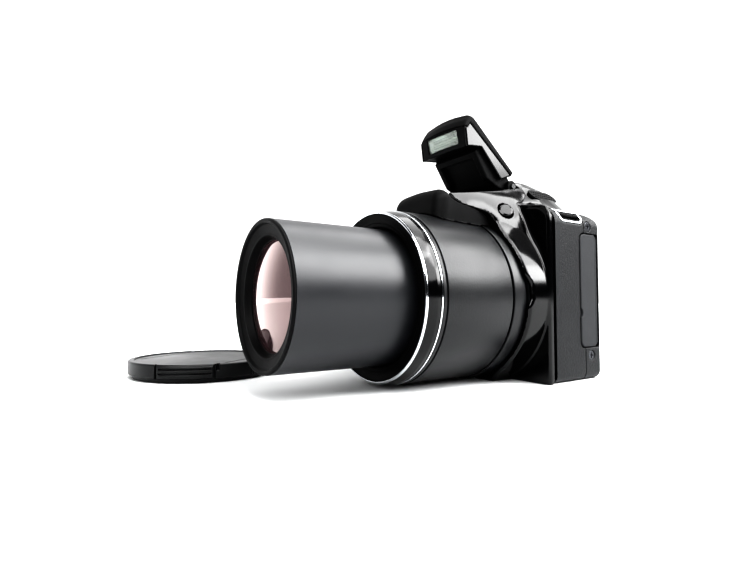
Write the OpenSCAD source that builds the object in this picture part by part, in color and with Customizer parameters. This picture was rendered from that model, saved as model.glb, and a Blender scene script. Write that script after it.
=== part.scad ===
// Bridge camera with a telescoping zoom lens, a pop-up flash and a separate lens cap.
// Millimetres, +Z up. The lens looks along -Y, the connector side is +X and the grip is -X.
// The origin is the mouth of the tripod socket, on the base and below the lens axis.
// Distances named "ahead" are measured from the socket towards the subject.

/* [Body] */
// Width from the grip's end to the connector side
body_w = 111.1; // [108:0.1:116]
// Rim of the front face between the collar and the connector side
side_rim = 0.5; // [0.2:0.1:2.5]
// Rise of the covers' shoulders over the barrel
shoulder = 2.5; // [2.1:0.1:4.5]
// Front face ahead of the socket
front_s = 13; // [12.5:0.1:14]
// Front edge of the side band ahead of the socket
band_s = 9; // [8.4:0.1:9.6]
// Seam between side band and rear cover behind the socket
seam_s = 7; // [6.8:0.1:7.6]
// Rear face behind the socket
rear_s = 17.5; // [17.2:0.1:20]
// Wall of the covers
wall = 2; // [1.8:0.1:2.2]
// Radius of the lower corners
low_r = 3; // [2.5:0.1:3.4]
// Radius of the upper corners
high_r = 6; // [5:0.1:7]
// Depth by which the rear top edge rolls off
roll_off = 7; // [5:0.5:8]
// Thickness of the raised top plate
plate_t = 1.2; // [1:0.1:1.6]

/* [Grip] */
// Radius of the finger grip's nose
grip_r = 12.5; // [12:0.1:13]
// Grip nose's centre ahead of the socket
grip_s = 20.5; // [20:0.1:21.5]
// Radius of the grip's inner shoulder
heel_r = 11.2; // [11:0.1:12]
// Thickness of the rubber skin
skin_t = 1.2; // [0.8:0.1:1.5]
// Forward lean of the shutter seat
shutter_lean = 15; // [10:1:20]
// Drop of the shutter seat's centre below the shoulders
shutter_drop = 4; // [3:0.1:4.4]

/* [Lens] */
// Gap between the fixed barrel and the level of the base
lens_foot = 0.3; // [0.2:0.1:0.9]
// Radial room from the telescoping tube to the outside of the fixed barrel
barrel_room = 6.6; // [6.3:0.1:7.2]
// Length of the fixed barrel's front ahead of the socket, beyond the zoom travel
barrel_lead = 26.1; // [24:0.1:32]
// Seam between barrel and base ring ahead of the socket
base_s = 28.4; // [27.6:0.1:30]
// Step of the base ring over the barrel
base_step = 0.8; // [0.6:0.1:1]
// Wall of the fixed barrel
barrel_wall = 1.6; // [1.4:0.1:1.7]
// Radius of the telescoping tube
tube_r = 22.5; // [21:0.1:24]
// Wall of the telescoping tube
tube_wall = 1.3; // [1.1:0.1:1.6]
// Zoom travel
zoom_d = 38; // [34:0.5:42]
// Overlap of the extended tube behind the front ring
tube_tail = 13.6; // [12:0.1:14]
// Width of the bezel round the front glass
bezel_w = 6.7; // [6:0.1:8.5]
// Depth of the glass rim behind the bezel's face
glass_sink = 3.6; // [3:0.1:5]
// Bulge of the front glass
glass_bulge = 2.6; // [1.5:0.1:3]
// Turn of the cam barrel over the zoom travel
cam_turn = 100; // [60:5:110]
// Radius of the cam follower pins
pin_r = 1; // [0.8:0.1:1.2]
// Thickness of the collar round the lens
collar_t = 1.1; // [1:0.1:1.3]
// Plain front edge of the collar ahead of the socket
collar_s = 22.5; // [21:0.1:23]

/* [Hump and flash] */
// Half width of the flash well
well_x = 12.8; // [12.6:0.1:13.2]
// Front of the brow ahead of the socket
brow_s = 46; // [45.5:0.1:48]
// Flash hinge ahead of the socket
hinge_s = 8.5; // [8.3:0.1:9]
// Rise of the flash hinge over the shoulders
hinge_rise = 10.3; // [10:0.1:11]
// Radius of the flash hinge pin
hinge_r = 1; // [0.8:0.1:1.1]
// Angle of the raised flash
flash_raise = 37; // [35:1:38]
// Angle from raised to closed
flash_fold = 52; // [46:1:52]
// Length of the flash lid from the hinge
lid_u = 31.4; // [30.5:0.1:31.6]
// Height of the lid's top over the hinge
lid_w = 4.8; // [4.6:0.1:5]
// Thickness of the lid
lid_t = 1.8; // [1.6:0.1:2]
// Half width of the flash housing
flash_x = 12.4; // [12.2:0.1:12.5]
// Half width of the flash window
window_x = 7.8; // [7:0.1:9]
// Height of the flash window
window_h = 5; // [4.4:0.1:5.2]

/* [Controls] */
// Radius of the small rear buttons
key_r = 3; // [2.6:0.1:3.3]
// Press travel of the buttons
press = 0.4; // [0.3:0.05:0.45]
// Radius of the selector ring
selector_r = 10; // [9:0.1:10.5]
// Radius of the confirm button
ok_r = 4.3; // [3.8:0.1:4.6]
// Radius of the power button
power_r = 3.6; // [3:0.1:4.2]
// Radius of the shutter button
shutter_r = 5.4; // [5:0.1:5.6]
// Radius of the zoom lever ring
lever_r = 9.4; // [9:0.1:9.6]
// Radius of the flash release button
release_r = 2.6; // [2.2:0.1:3]

/* [Power and connectors] */
// Radius of a cell
cell_r = 7.1; // [7:0.05:7.2]
// Height of the body that is not taken up by the cells' length
cell_room = 11; // [10.8:0.1:12]
// Spacing of the cells
cell_gap = 15; // [14.8:0.1:15.2]
// Radius of the tripod thread's bore
socket_r = 2.6; // [2.5:0.05:2.7]
// Depth of the tripod thread
socket_l = 6; // [5:0.1:6.5]
// Height of the body that the connector cover leaves free
flap_room = 20.4; // [19:0.1:25]
// Width of the connector cover
flap_w = 10.8; // [10:0.1:11]
// Thickness of the connector cover
flap_t = 1.5; // [1.3:0.1:1.6]
// Width of the display glass
lcd_w = 64; // [60:0.5:65]
// Height of the body that the display glass leaves free
lcd_room = 15; // [14.5:0.5:19]

/* [Lens cap] */
// Reach of the cap's rim beyond the tube
cap_rim = 4.4; // [4.2:0.1:5.5]
// Height of the cap
cap_h = 6.5; // [6.2:0.1:7.5]
// Cap's place to the left of the lens axis
cap_x = -63.6; // [-70:0.1:-60]
// Cap's place ahead of the socket
cap_s = 100.5; // [98:0.1:104]

/* [Clearances] */
// Gap between pieces that are seated on each other
fit = 0.05; // [0.02:0.01:0.1]
// Gap round moving pieces
run = 0.3; // [0.25:0.05:0.35]

/* [Hidden] */
$fn = 64;
hull_fn = 32;
far = 200;
sliver = 0.3;
barrel_r = tube_r + barrel_room;
lens_z = barrel_r + lens_foot;
body_h = lens_z + barrel_r + shoulder;
base_r = barrel_r + base_step;
bore_r = base_r + run;
collar_r = bore_r + collar_t;
side_x = collar_r + side_rim;
grip_x = side_x - body_w;
mid_x = side_x - body_w / 2;
hinge_z = body_h + hinge_rise;
shutter_z = body_h - shutter_drop;
glass_r = tube_r - bezel_w;
cap_r = tube_r + cap_rim;
cell_l = body_h - cell_room;
flap_h = body_h - flap_room;
lcd_h = body_h - lcd_room;
barrel_in = barrel_r - barrel_wall;
barrel_s = zoom_d + barrel_lead;
tube_s = barrel_s + zoom_d + 0.1;
tube_back = barrel_s - tube_tail;

// Radial stack inside the fixed barrel
housing_r = barrel_in - fit;
housing_in = housing_r - 0.9;
cam_r = housing_in - run;
cam_in = cam_r - 1.1;
guide_r = cam_in - run;
guide_in = guide_r - 1;
guide_back = band_s + 0.2;

gloss = "#141416";
satin = "#2c2d30";
rubber = "#3a3b3d";
chrome = "#c9ccd0";
steel = "#8e9296";
glass = "#9fb0ac";
board = "#1f4a33";
pale = "#d9dcd6";

// Prism between two distances ahead of the socket, drawn in the X-Z plane
module slab(s0, s1) {
  translate([0, -s0, 0]) rotate([90, 0, 0]) linear_extrude(s1 - s0) children();
}

// Prism between two X positions, drawn in the Y-Z plane
module side_slab(x0, x1) {
  translate([x0, 0, 0]) rotate([90, 0, 90]) linear_extrude(x1 - x0) children();
}

// Body turned about the lens axis from a profile of [radius, ahead]
module turned() {
  translate([0, 0, lens_z]) rotate([90, 0, 0]) rotate_extrude() children();
}

// Cylinder on the lens axis
module lens_cylinder(r, s0, s1) {
  translate([0, -s0, lens_z]) rotate([90, 0, 0]) cylinder(h = s1 - s0, r = r);
}

// Box given by its limits
module block(x0, x1, s0, s1, z0, z1) {
  translate([x0, -s1, z0]) cube([x1 - x0, s1 - s0, z1 - z0]);
}

// Rounded rectangle made of true arcs
module rounded(w, h, r) {
  square([w - 2 * r, h], center = true);
  square([w, h - 2 * r], center = true);
  for (i = [-1, 1], k = [-1, 1]) translate([i * (w / 2 - r), k * (h / 2 - r)]) circle(r);
}

// Front view of the covers, drawn in by an inset, with the top lowered by a drop
module outline(inset = 0, drop = 0) {
  x0 = grip_x + inset;
  x1 = side_x - inset;
  z1 = body_h - inset - drop;
  lo = low_r - min(inset, low_r - 0.6);
  hi = high_r - min(inset, high_r - 0.6);
  polygon([
    [x0 + lo, inset], [x1 - lo, inset], [x1, inset + lo], [x1, z1 - hi],
    [x1 - hi, z1], [x0 + hi, z1], [x0, z1 - hi], [x0, inset + lo]
  ]);
  for (x = [x0 + lo, x1 - lo]) translate([x, inset + lo]) circle(lo);
  for (x = [x0 + hi, x1 - hi]) translate([x, z1 - hi]) circle(hi);
}

// Closed body through rings of equal point count
module loft(rings) {
  n = len(rings[0]);
  m = len(rings);
  sides = [
    for (i = [0 : m - 2], k = [0 : n - 1])
      each [
        [i * n + k, i * n + (k + 1) % n, (i + 1) * n + (k + 1) % n],
        [i * n + k, (i + 1) * n + (k + 1) % n, (i + 1) * n + k]
      ]
  ];
  ends = [[for (k = [0 : n - 1]) n - 1 - k], [for (k = [0 : n - 1]) (m - 1) * n + k]];
  polyhedron(points = [for (r = rings) each r], faces = concat(sides, ends));
}

// The outline as a ring of points at one distance ahead, for lofts
corner_steps = 6;
function corner(x, z, r, from) = [
  for (k = [0 : corner_steps])
    let (a = from + 90 * k / corner_steps) [x + r * cos(a), z + r * sin(a)]
];
function outline_ring(s, inset, drop) =
  let (
    x0 = grip_x + inset,
    x1 = side_x - inset,
    z1 = body_h - inset - drop,
    lo = low_r - min(inset, low_r - 0.6),
    hi = high_r - min(inset, high_r - 0.6),
    points = concat(
      corner(x1 - hi, z1 - hi, hi, 0), corner(x0 + hi, z1 - hi, hi, 90),
      corner(x0 + lo, inset + lo, lo, 180), corner(x1 - lo, inset + lo, lo, 270)
    )
  )
  [for (p = points) [p.x, -s, p.y]];

// Cells and the space that the battery door fills, grown by a gap
cells_x = grip_x + 20;
cells_s = 3;
holder_w = cell_gap + 2 * cell_r + 1.8;
door_x0 = cells_x - 13.8;
door_x1 = cells_x + 14.3;
door_s0 = cells_s - 14.8;
door_s1 = cells_s + 13.8;
knuckle_r = 0.9;
door_z = 0.3;
door_t = 1.6;
module door_space(gap) {
  block(door_x0 - knuckle_r - gap, door_x1 + gap, door_s0 - gap, door_s1 + gap, -1, wall + 0.8);
}

// Well in which the closed flash lies
well_s0 = hinge_s - 4;
well_s1 = hinge_s + lid_u + 1.4;
module flash_well() {
  block(-well_x, well_x, well_s0, well_s1, body_h + 0.2, far);
  block(-well_x, well_x, front_s + 1, well_s1, body_h - 8, far);
}

// Region ahead of the collar's edge: plain below, leaning forward over the barrel
lip_z0 = lens_z + 6.6;
lip_z1 = lens_z + 12.6;
lip_z2 = lens_z + 20;
lip_step = 5;
lip_lean = 0.68;
lip_top = body_h + 29;
module ahead_of_lip(gap = 0) {
  s1 = collar_s + lip_step;
  s2 = s1 + lip_lean * (lip_top - lip_z2);
  translate([0, -gap, 0]) side_slab(-far, far) polygon([
    [-collar_s, -far], [-collar_s, lip_z0], [-s1, lip_z1], [-s1, lip_z2],
    [-s2, lip_top], [-far, lip_top], [-far, -far]
  ]);
}

// Plan circles of the grip, hulled from base to sloping top
nose_x = grip_x + grip_r;
heel_x = grip_x + 26.3;
heel_s = grip_s - 6;
module grip_form(inset, top_drop = 0, floor_z = 0) {
  foot = 2;
  hull() {
    for (c = [[nose_x, grip_s, grip_r, shutter_z + 1], [heel_x, heel_s, heel_r, body_h - 4]]) {
      translate([c.x, -c.y, floor_z])
        cylinder(h = foot, r1 = c.z - foot - inset, r2 = c.z - inset, $fn = hull_fn);
      translate([c.x, -c.y, floor_z + foot])
        cylinder(h = c[3] - 9 - top_drop - floor_z - foot, r = c.z - inset, $fn = hull_fn);
      translate([c.x, -c.y, c[3] - 9 - top_drop])
        cylinder(h = 9, r1 = c.z - inset, r2 = c.z - 5 - inset, $fn = hull_fn);
    }
    block(grip_x + inset + low_r, heel_x + heel_r - inset, band_s, band_s + sliver,
      floor_z, body_h - 1 - top_drop);
  }
}

// Part of the grip that the rubber skin covers
skin_z0 = 6;
skin_z1 = body_h - 15;
module skin_zone(gap) {
  block(grip_x - 1, heel_x + heel_r + 1, front_s + 2 - gap, far, skin_z0 - gap, skin_z1 + gap);
}

// Frame of the shutter's axis, z along the press direction
module at_shutter() {
  translate([nose_x + 1, -grip_s - 0.5, shutter_z]) rotate([shutter_lean, 0, 0]) children();
}

// Frame of the flash release on the hump's flank, z out of the surface
release_at = [18.4, -19.2, body_h - 1.1];
release_turn = 31;
release_tilt = 61;
module at_release() {
  translate(release_at) rotate([0, 0, -release_turn]) rotate([0, release_tilt, 0]) children();
}

// Screws of the covers: place and direction out of the surface
screw_r = 1.7;
screw_h = 0.8;
shank_r = 0.9;
shank_l = 3;
side_screws = [[side_x, 9.7, body_h - 5.8], [side_x, 10.7, 8.6]];
base_screws = [[side_x - 7.8, 2, 0], [cells_x + holder_w / 2 + 13.8, 2, 0]];
module screws(gap) {
  for (p = side_screws) translate(p) rotate([0, 90, 0]) screw(gap);
  for (p = base_screws) translate(p) rotate([180, 0, 0]) screw(gap);
}
module screw(gap) {
  translate([0, 0, -0.2 - screw_h]) cylinder(h = screw_h + (gap > 0 ? 1 : 0), r = screw_r + gap);
  translate([0, 0, -0.2 - screw_h - shank_l]) cylinder(h = shank_l + 0.1, r = shank_r + gap);
}

// Focus lamp's place on the front face
lamp_x = cells_x + holder_w / 2 + 6.2;
lamp_z = body_h - 7;
lamp_r = 3;

// Gloss front cover: face, collar round the lens, and the core of the grip
module front_form() {
  edge = 3;
  hull() {
    slab(band_s, band_s + sliver) outline($fn = hull_fn);
    slab(front_s - 1.4, front_s - 1.2) outline(1, $fn = hull_fn);
    slab(front_s - sliver, front_s) outline(edge, $fn = hull_fn);
  }
}
module front_cover() color(gloss) difference() {
  union() {
    difference() {
      front_form();
      slab(band_s - 1, front_s - wall) outline(wall);
    }
    lens_cylinder(collar_r, band_s, lip_top);
    difference() {
      grip_form(skin_t);
      grip_form(skin_t + wall, wall + 4, wall);
    }
    difference() {
      grip_form(0);
      grip_form(skin_t + wall, wall + 4, wall);
      skin_zone(fit);
    }
  }
  slab(-far, band_s) square(far * 2, center = true);
  lens_cylinder(bore_r, 0, far);
  ahead_of_lip();
  block(-far, far, -far, far, -far, 0);
  flash_well();
  block(grip_x + wall + low_r, heel_x - 2, band_s - 1, front_s + 1, wall, body_h - 12);
  difference() {
    door_space(run);
    knuckle_lug(door_s1 + run, door_s1 - 2);
  }
  holder_form(run, wall);
  at_shutter() cylinder(h = far, r = lever_r + 0.8);
  at_shutter() cylinder(h = 40, r = stem_r + 2 * fit, center = true);
  translate([lamp_x, 0, lamp_z]) rotate([90, 0, 0]) cylinder(h = far, r = lamp_r + fit);
}

// Textured band between the front and rear covers
pocket_d = 5.2;
pocket_y = 6;
module lug_pocket(gap) {
  for (m = [0, 1])
    translate([mid_x, 0, 0]) mirror([m, 0, 0]) translate([-mid_x, 0, 0])
      block(side_x - pocket_d - gap, side_x + 1, -pocket_y - gap, pocket_y + gap,
        body_h - pocket_d - gap, body_h + 1);
}
flap_z = body_h / 2 + 1.6;
flap_y = 9.9;
module flap_space(gap, depth) {
  translate([side_x - depth, flap_y, flap_z]) rotate([90, 0, 90])
    linear_extrude(depth + 1) rounded(flap_w + 2 * gap, flap_h + 2 * gap, 2.4);
}
bay_y = 3.8;
bay_h = flap_h / 2 - 4.3;
module bay() {
  block(side_x - 2 * wall, side_x + 1, -flap_y - bay_y, -flap_y + bay_y,
    flap_z - bay_h, flap_z + bay_h);
}
bush_r = 5;
module side_frame() color(satin) difference() {
  slab(-seam_s, band_s) difference() {
    outline();
    outline(wall);
  }
  lug_pocket(fit);
  door_space(run);
  flap_space(run, flap_t + fit);
  bay();
  cylinder(h = 3 * wall, r = bush_r + fit, center = true);
  screws(fit);
  power_at() cylinder(h = 20, r = power_r + 2 * fit, center = true);
}

// Rear cover with the display window and the holes of the keys
keys_x = grip_x + 19;
lcd_x = side_x - 3.6 - lcd_w / 2;
lcd_z = lcd_h / 2 + 3.9;
key_places = [
  [keys_x, body_h - 15.6, 3.4], [keys_x + 8, 38.4, key_r], [keys_x - 8, 38.4, key_r],
  [keys_x + 8, 9.6, key_r], [keys_x - 8, 9.6, key_r]
];
dial_z = 24;
module rear_cover() color(satin) difference() {
  loft([
    outline_ring(-seam_s, 0, 0), outline_ring(-rear_s + 6, 0.05, roll_off * 0.1),
    outline_ring(-rear_s + 2.4, 0.2, roll_off * 0.35),
    outline_ring(-rear_s + 0.9, 0.9, roll_off * 0.65), outline_ring(-rear_s, 2.4, roll_off)
  ]);
  slab(-rear_s + wall, 0) outline(wall, roll_off);
  slab(-board_y - 0.4, 0) outline(wall, roll_off * 0.25);
  slab(-far, 0) translate([lcd_x, lcd_z]) rounded(lcd_w + 2 * fit, lcd_h + 2 * fit, 2);
  for (k = key_places)
    translate([k.x, 0, k.y]) rotate([-90, 0, 0]) cylinder(h = far, r = k.z + 2 * fit);
  translate([keys_x, 0, dial_z]) rotate([-90, 0, 0])
    cylinder(h = far, r = selector_r + 2 * fit);
  difference() {
    door_space(run);
    knuckle_lug(door_s0 - run, door_s0 + 2);
  }
  flap_space(run, flap_t + fit);
  flap_axle(fit);
  bay();
  screws(fit);
}

// Hump: sections across the lens axis, from the rear roll-off to the front of the well.
// Each station is [ahead, crown over the rail, rail over the shoulders, flank foot from the axis].
rail_x = 13.6;
foot_z = body_h - 1;
hump_stations = [
  [-15.5, 0.4, 1.6, 20], [-12, 2, 6, 24], [-7, 3, 10.3, 27], [-2, 3.2, 11.6, 28],
  [4, 3, 11.2, 28], [8, 1, 9.5, 27.2], [12, 0.4, 8.7, 25.6], [15, 0.4, 8.2, 22],
  [19, 0.4, 7.5, 18.6], [28, 0.4, 6, 15.4], [34, 0.4, 5, 14.6], [41, 0.4, 3.9, 14.3]
];
flank = [[0.15, 0.1], [0.35, 0.33], [0.6, 0.63], [0.8, 0.83], [1, 1]];
skirt_x = 3.6;
skirt_z = body_h - 8.5;
inner_z = body_h - 12;
function half_section(crown, rail, foot) = concat(
  [[0, rail + crown], [0.45 * rail_x, rail + 0.8 * crown], [0.85 * rail_x, rail + 0.3 * crown]],
  [[rail_x - 0.3, rail], [rail_x, rail - 0.4]],
  [for (f = flank) [rail_x + f.x * (foot - rail_x), rail - 0.4 - f.y * (rail - 0.4 - foot_z)]],
  [[foot + skirt_x, skirt_z], [foot + skirt_x, inner_z]]
);
function whole_section(half, s) = concat(
  [for (p = half) [p.x, -s, p.y]],
  [for (k = [len(half) - 1 : -1 : 1]) [-half[k].x, -s, half[k].y]]
);
module hump_form() {
  loft([for (t = hump_stations) whole_section(half_section(t[1], body_h + t[2], t[3]), t[0])]);
}
module power_at() {
  translate([cells_x + 3, 2, body_h + plate_t]) children();
}
speaker_at = [18.7, 2, body_h + 7.4];
module at_speaker() {
  translate(speaker_at) rotate([0, 45, 0]) children();
}
lug_r = 2.3;
lug_x0 = 11.2;
lug_x1 = rail_x - 0.2;
module top_cover() color(gloss) difference() {
  union() {
    difference() {
      hump_form();
      flash_well();
      ahead_of_lip(-fit);
    }
    hull() {
      block(grip_x + high_r, side_x - high_r, -rear_s + 5, front_s - 3, body_h, body_h + sliver);
      block(grip_x + high_r + 1.2, side_x - high_r - 1.2, -rear_s + 6.2, front_s - 4.2,
        body_h + sliver, body_h + plate_t);
    }
    for (m = [0, 1]) mirror([m, 0, 0]) {
      translate([lug_x0, -hinge_s, hinge_z]) rotate([0, 90, 0])
        cylinder(h = lug_x1 - lug_x0, r = lug_r);
      block(lug_x0, well_x + 0.4, hinge_s - lug_r, hinge_s + lug_r, body_h + 2, hinge_z);
    }
  }
  lens_cylinder(collar_r + fit, 0, far);
  block(-far, far, -far, front_s - 4, -far, body_h);
  block(-far, far, front_s - 4 - sliver, front_s + fit, -far, body_h + 0.1);
  translate([0, -hinge_s, hinge_z]) rotate([0, 90, 0])
    cylinder(h = far, r = hinge_r + fit, center = true);
  power_at() cylinder(h = 20, r = power_r + 2 * fit, center = true);
  at_speaker() translate([0, 0, -1.2]) linear_extrude(far) rounded(6.4, 14.4, 3.1);
  at_release() cylinder(h = 30, r = release_r + 2 * fit, center = true);
}

// Gloss brow ahead of the flash, seated on the barrel, with a bare plate for its front.
// Each station is [ahead, crown and edge over the shoulders, foot from the axis].
brow_stations = [[29, 9.2, 5, 18.4], [39, 7.4, 4.2, 18.6], [43, 6.2, 3.2, 18.4]];
module brow_form() {
  nose = [[brow_s - 0.8, 5, 2.2, 18.2], [brow_s, 3.6, 1.4, 17.6]];
  edge = well_x + 0.5;
  function half(top, low, foot) = [
    [0, top], [0.5 * edge, top - 0.25 * (top - low)], [0.85 * edge, low + 0.3 * (top - low)],
    [edge, low], [edge + 0.4, low - 1.4], [edge + 1, foot_z - 1.5], [edge + 2.8, foot_z - 5],
    [foot, foot_z - 8], [foot, inner_z]
  ];
  loft([
    for (t = concat(brow_stations, nose))
      whole_section(half(body_h + t[1], body_h + t[2], t[3]), t[0])
  ]);
}
module hump_brow() color(gloss) difference() {
  intersection() {
    brow_form();
    ahead_of_lip(fit);
  }
  lens_cylinder(barrel_r + fit, 0, far);
  lens_cylinder(base_r + fit, 0, base_s + fit);
  flash_well();
}

// Rubber skin of the grip
module grip_rubber() color(rubber) intersection() {
  difference() {
    grip_form(0);
    grip_form(skin_t - fit);
  }
  skin_zone(0);
}

// Fixed barrel with its base ring, seam and nose
groove = 0.6;
nose_r = barrel_r - 2;
nose_back = barrel_s - 6;
nose_front = barrel_s - 2.4;
barrel_back = front_s - 4;
module lens_barrel() color(satin) difference() {
  turned() polygon([
    [barrel_in, barrel_back], [base_r, barrel_back], [base_r, base_s - groove],
    [barrel_r - groove, base_s - groove], [barrel_r - groove, base_s], [barrel_r, base_s],
    [barrel_r, nose_back - 1.7], [barrel_r - groove, nose_back - 1.7],
    [barrel_r - groove, nose_back - 1.1], [barrel_r - 0.1, nose_back - 1.1],
    [barrel_r - 0.1, nose_back], [nose_r, nose_back], [nose_r, nose_front],
    [nose_r - 1.2, nose_front], [nose_r - 1.2, nose_back - 2], [barrel_in, nose_back - 3.4]
  ]);
  block(-far, far, -far, far, -far, 0);
}
ring_t = 0.8;
front_r = barrel_r - 1;
module gloss_band() color(gloss) turned() polygon([
  [nose_r + fit, nose_back + ring_t + fit], [barrel_r - 0.35, nose_back + ring_t + fit],
  [front_r + 0.1, barrel_s - ring_t - fit], [front_r - 0.6, barrel_s - ring_t - fit],
  [front_r - 0.6, nose_front], [nose_r + fit, nose_front]
]);
module chrome_rings() color(chrome) turned() {
  polygon([
    [nose_r + fit, nose_back + fit], [barrel_r - 0.2, nose_back + fit],
    [barrel_r - 0.25, nose_back + ring_t], [nose_r + fit, nose_back + ring_t]
  ]);
  polygon([
    [front_r - 0.6, barrel_s - ring_t], [front_r + 0.1, barrel_s - ring_t],
    [front_r, barrel_s - 0.2], [front_r - 0.2, barrel_s], [front_r - 0.6, barrel_s]
  ]);
}
// Matte face inside the front rim, left bare
name_in = tube_r + 0.8;
module name_ring() color(satin) turned() polygon([
  [name_in, nose_front + fit], [front_r - 0.6 - fit, nose_front + fit],
  [front_r - 0.6 - fit, barrel_s - 0.3], [front_r - 1.2, barrel_s - 0.2],
  [name_in, barrel_s - 0.9]
]);
module light_seal() color(gloss) turned() polygon([
  [tube_r + run, nose_front - 1], [nose_r - 1.2 - fit, nose_front - 1],
  [nose_r - 1.2 - fit, nose_front], [tube_r + run, nose_front]
]);

// Inner lens unit
throat_r = tube_r - 5;
throat_in = throat_r - 2;
throat_back = -5.5;
flange_r = housing_r - 0.6;
module lens_housing() color(satin) turned() polygon([
  [throat_in, throat_back], [throat_r, throat_back], [throat_r, seam_s], [flange_r, seam_s],
  [flange_r, barrel_back], [housing_r, barrel_back], [housing_r, nose_back - 3.5],
  [housing_in, nose_back - 3.5], [housing_in, guide_back - 0.7], [throat_in, guide_back - 0.7]
]);
slot_w = pin_r + 0.15;
follow_s = tube_back + 1.5;
module straight_slot() {
  for (k = [0 : 2])
    translate([0, 0, lens_z]) rotate([0, k * 120, 0]) {
      translate([-slot_w, -follow_s, 0]) cube([2 * slot_w, zoom_d, cam_r + 1]);
      for (s = [follow_s, follow_s - zoom_d])
        translate([0, -s, 0]) cylinder(h = cam_r + 1, r = slot_w);
    }
}
module guide_barrel() color(satin) difference() {
  turned() polygon([
    [guide_in, guide_back - 0.65], [housing_in - 0.1, guide_back - 0.65],
    [housing_in - 0.1, guide_back], [guide_r, guide_back], [guide_r, nose_back - 2.4],
    [guide_in, nose_back - 2.4]
  ]);
  straight_slot();
}
// Cam barrel with three helical slots, swept as one ring of plates per slot
cam_steps = 14;
function helix_point(r, s, turn) = [r * sin(turn), -s, lens_z + r * cos(turn)];
module helix_cut() {
  reach = slot_w / cam_r * 180 / PI;
  for (k = [0 : 2])
    loft([
      for (i = [-1 : cam_steps + 1])
        let (t = i / cam_steps, s = follow_s - t * zoom_d, a = k * 120 + t * cam_turn)
          [
            helix_point(cam_in - 1, s + slot_w * 1.1, a + reach * 1.1),
            helix_point(cam_r + 1, s + slot_w * 1.1, a + reach * 1.1),
            helix_point(cam_r + 1, s - slot_w * 1.1, a - reach * 1.1),
            helix_point(cam_in - 1, s - slot_w * 1.1, a - reach * 1.1)
          ]
    ]);
}
module cam_barrel() color(steel) difference() {
  turned() polygon([
    [cam_in, guide_back + run], [cam_r, guide_back + run], [cam_r, nose_back - 2.6],
    [cam_in, nose_back - 2.6]
  ]);
  helix_cut();
}

// Telescoping tube with its rear collar and follower pins
tail_l = 3;
module zoom_tube() color(satin) {
  turned() polygon([
    [tube_r - tube_wall, tube_back], [guide_in - run, tube_back],
    [guide_in - run, tube_back + tail_l], [tube_r, tube_back + tail_l + 0.6],
    [tube_r, tube_s - 0.8], [tube_r - tube_wall, tube_s - 0.8]
  ]);
  for (k = [0 : 2])
    translate([0, -follow_s, lens_z]) rotate([0, k * 120, 0])
      translate([0, 0, tube_r - 0.5]) cylinder(h = cam_r - 0.2 - tube_r + 0.5, r = pin_r);
}
bezel_in = tube_r - tube_wall - fit;
rim_s = tube_s - glass_sink;
module front_bezel() color(gloss) turned() polygon([
  [glass_r + 0.55, rim_s - 6], [bezel_in, rim_s - 6], [bezel_in, tube_s - 0.8 + fit],
  [tube_r - 0.05, tube_s - 0.8 + fit], [tube_r - 0.5, tube_s], [glass_r + 1.3, tube_s],
  [glass_r + 1, tube_s - 0.6], [glass_r + 0.3, rim_s + 0.1], [glass_r, rim_s],
  [glass_r + 0.55, rim_s]
]);
module front_lens() color(glass) {
  edge_r = glass_r + 0.5;
  ball_r = (glass_r * glass_r + glass_bulge * glass_bulge) / (2 * glass_bulge);
  rim_t = 4;
  intersection() {
    lens_cylinder(edge_r, rim_s - rim_t, tube_s);
    translate([0, -(rim_s + glass_bulge - ball_r), lens_z]) sphere(ball_r, $fn = 96);
    union() {
      lens_cylinder(glass_r - fit, rim_s - rim_t, tube_s);
      lens_cylinder(edge_r, rim_s - rim_t, rim_s - fit);
    }
  }
}
module rear_lens_group() color(glass) turned() polygon([
  [0, 0], [throat_in - fit, 0], [throat_in - fit, 5], [10, 5], [7, 6.2], [0, 6.8]
]);
module image_sensor() color(steel)
  block(-5, 5, throat_back, throat_back + 1.2, lens_z - 4, lens_z + 4);
plate_s = throat_back - 1;
plate_x = throat_r - 2.5;
plate_z = throat_r - 4.5;
module sensor_plate() color(steel)
  block(-plate_x, plate_x, plate_s, throat_back, lens_z - plate_z, lens_z + plate_z);
motor_r = 5;
motor_a = 41;
module zoom_motor() color(steel) {
  reach = flange_r + motor_r + fit;
  translate([-reach * cos(motor_a), seam_s - 1, lens_z + reach * sin(motor_a)]) rotate([90, 0, 0]) {
    cylinder(h = seam_s - 1 + barrel_back - 0.2, r = motor_r);
    translate([0, 0, -0.4]) cylinder(h = 0.5, r = 2);
  }
}
board_t = 1;
board_x0 = cells_x + holder_w / 2 + 0.6;
module main_board() color(board) difference() {
  block(board_x0, side_x - 8, plate_s - board_t, plate_s, wall + 7, body_h - 5);
  for (z = [wall + 10, body_h - 8])
    translate([board_x0 + 3, 0, z]) rotate([-90, 0, 0]) cylinder(h = far, r = 1.2);
}
capacitor_r = 5;
module flash_capacitor() color(gloss) {
  translate([board_x0 + capacitor_r + run, 1, wall]) cylinder(h = body_h - 29, r = capacitor_r);
}

// Display
lcd_back = -rear_s - 1.3;
module lcd_glass() color(gloss)
  slab(lcd_back, -rear_s + 1) translate([lcd_x, lcd_z]) rounded(lcd_w, lcd_h, 2);
module lcd_panel() color(steel) slab(-rear_s + 1, -rear_s + 3.4)
  translate([lcd_x, lcd_z]) square([lcd_w - 1.6, lcd_h - 1.6], center = true);

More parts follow.
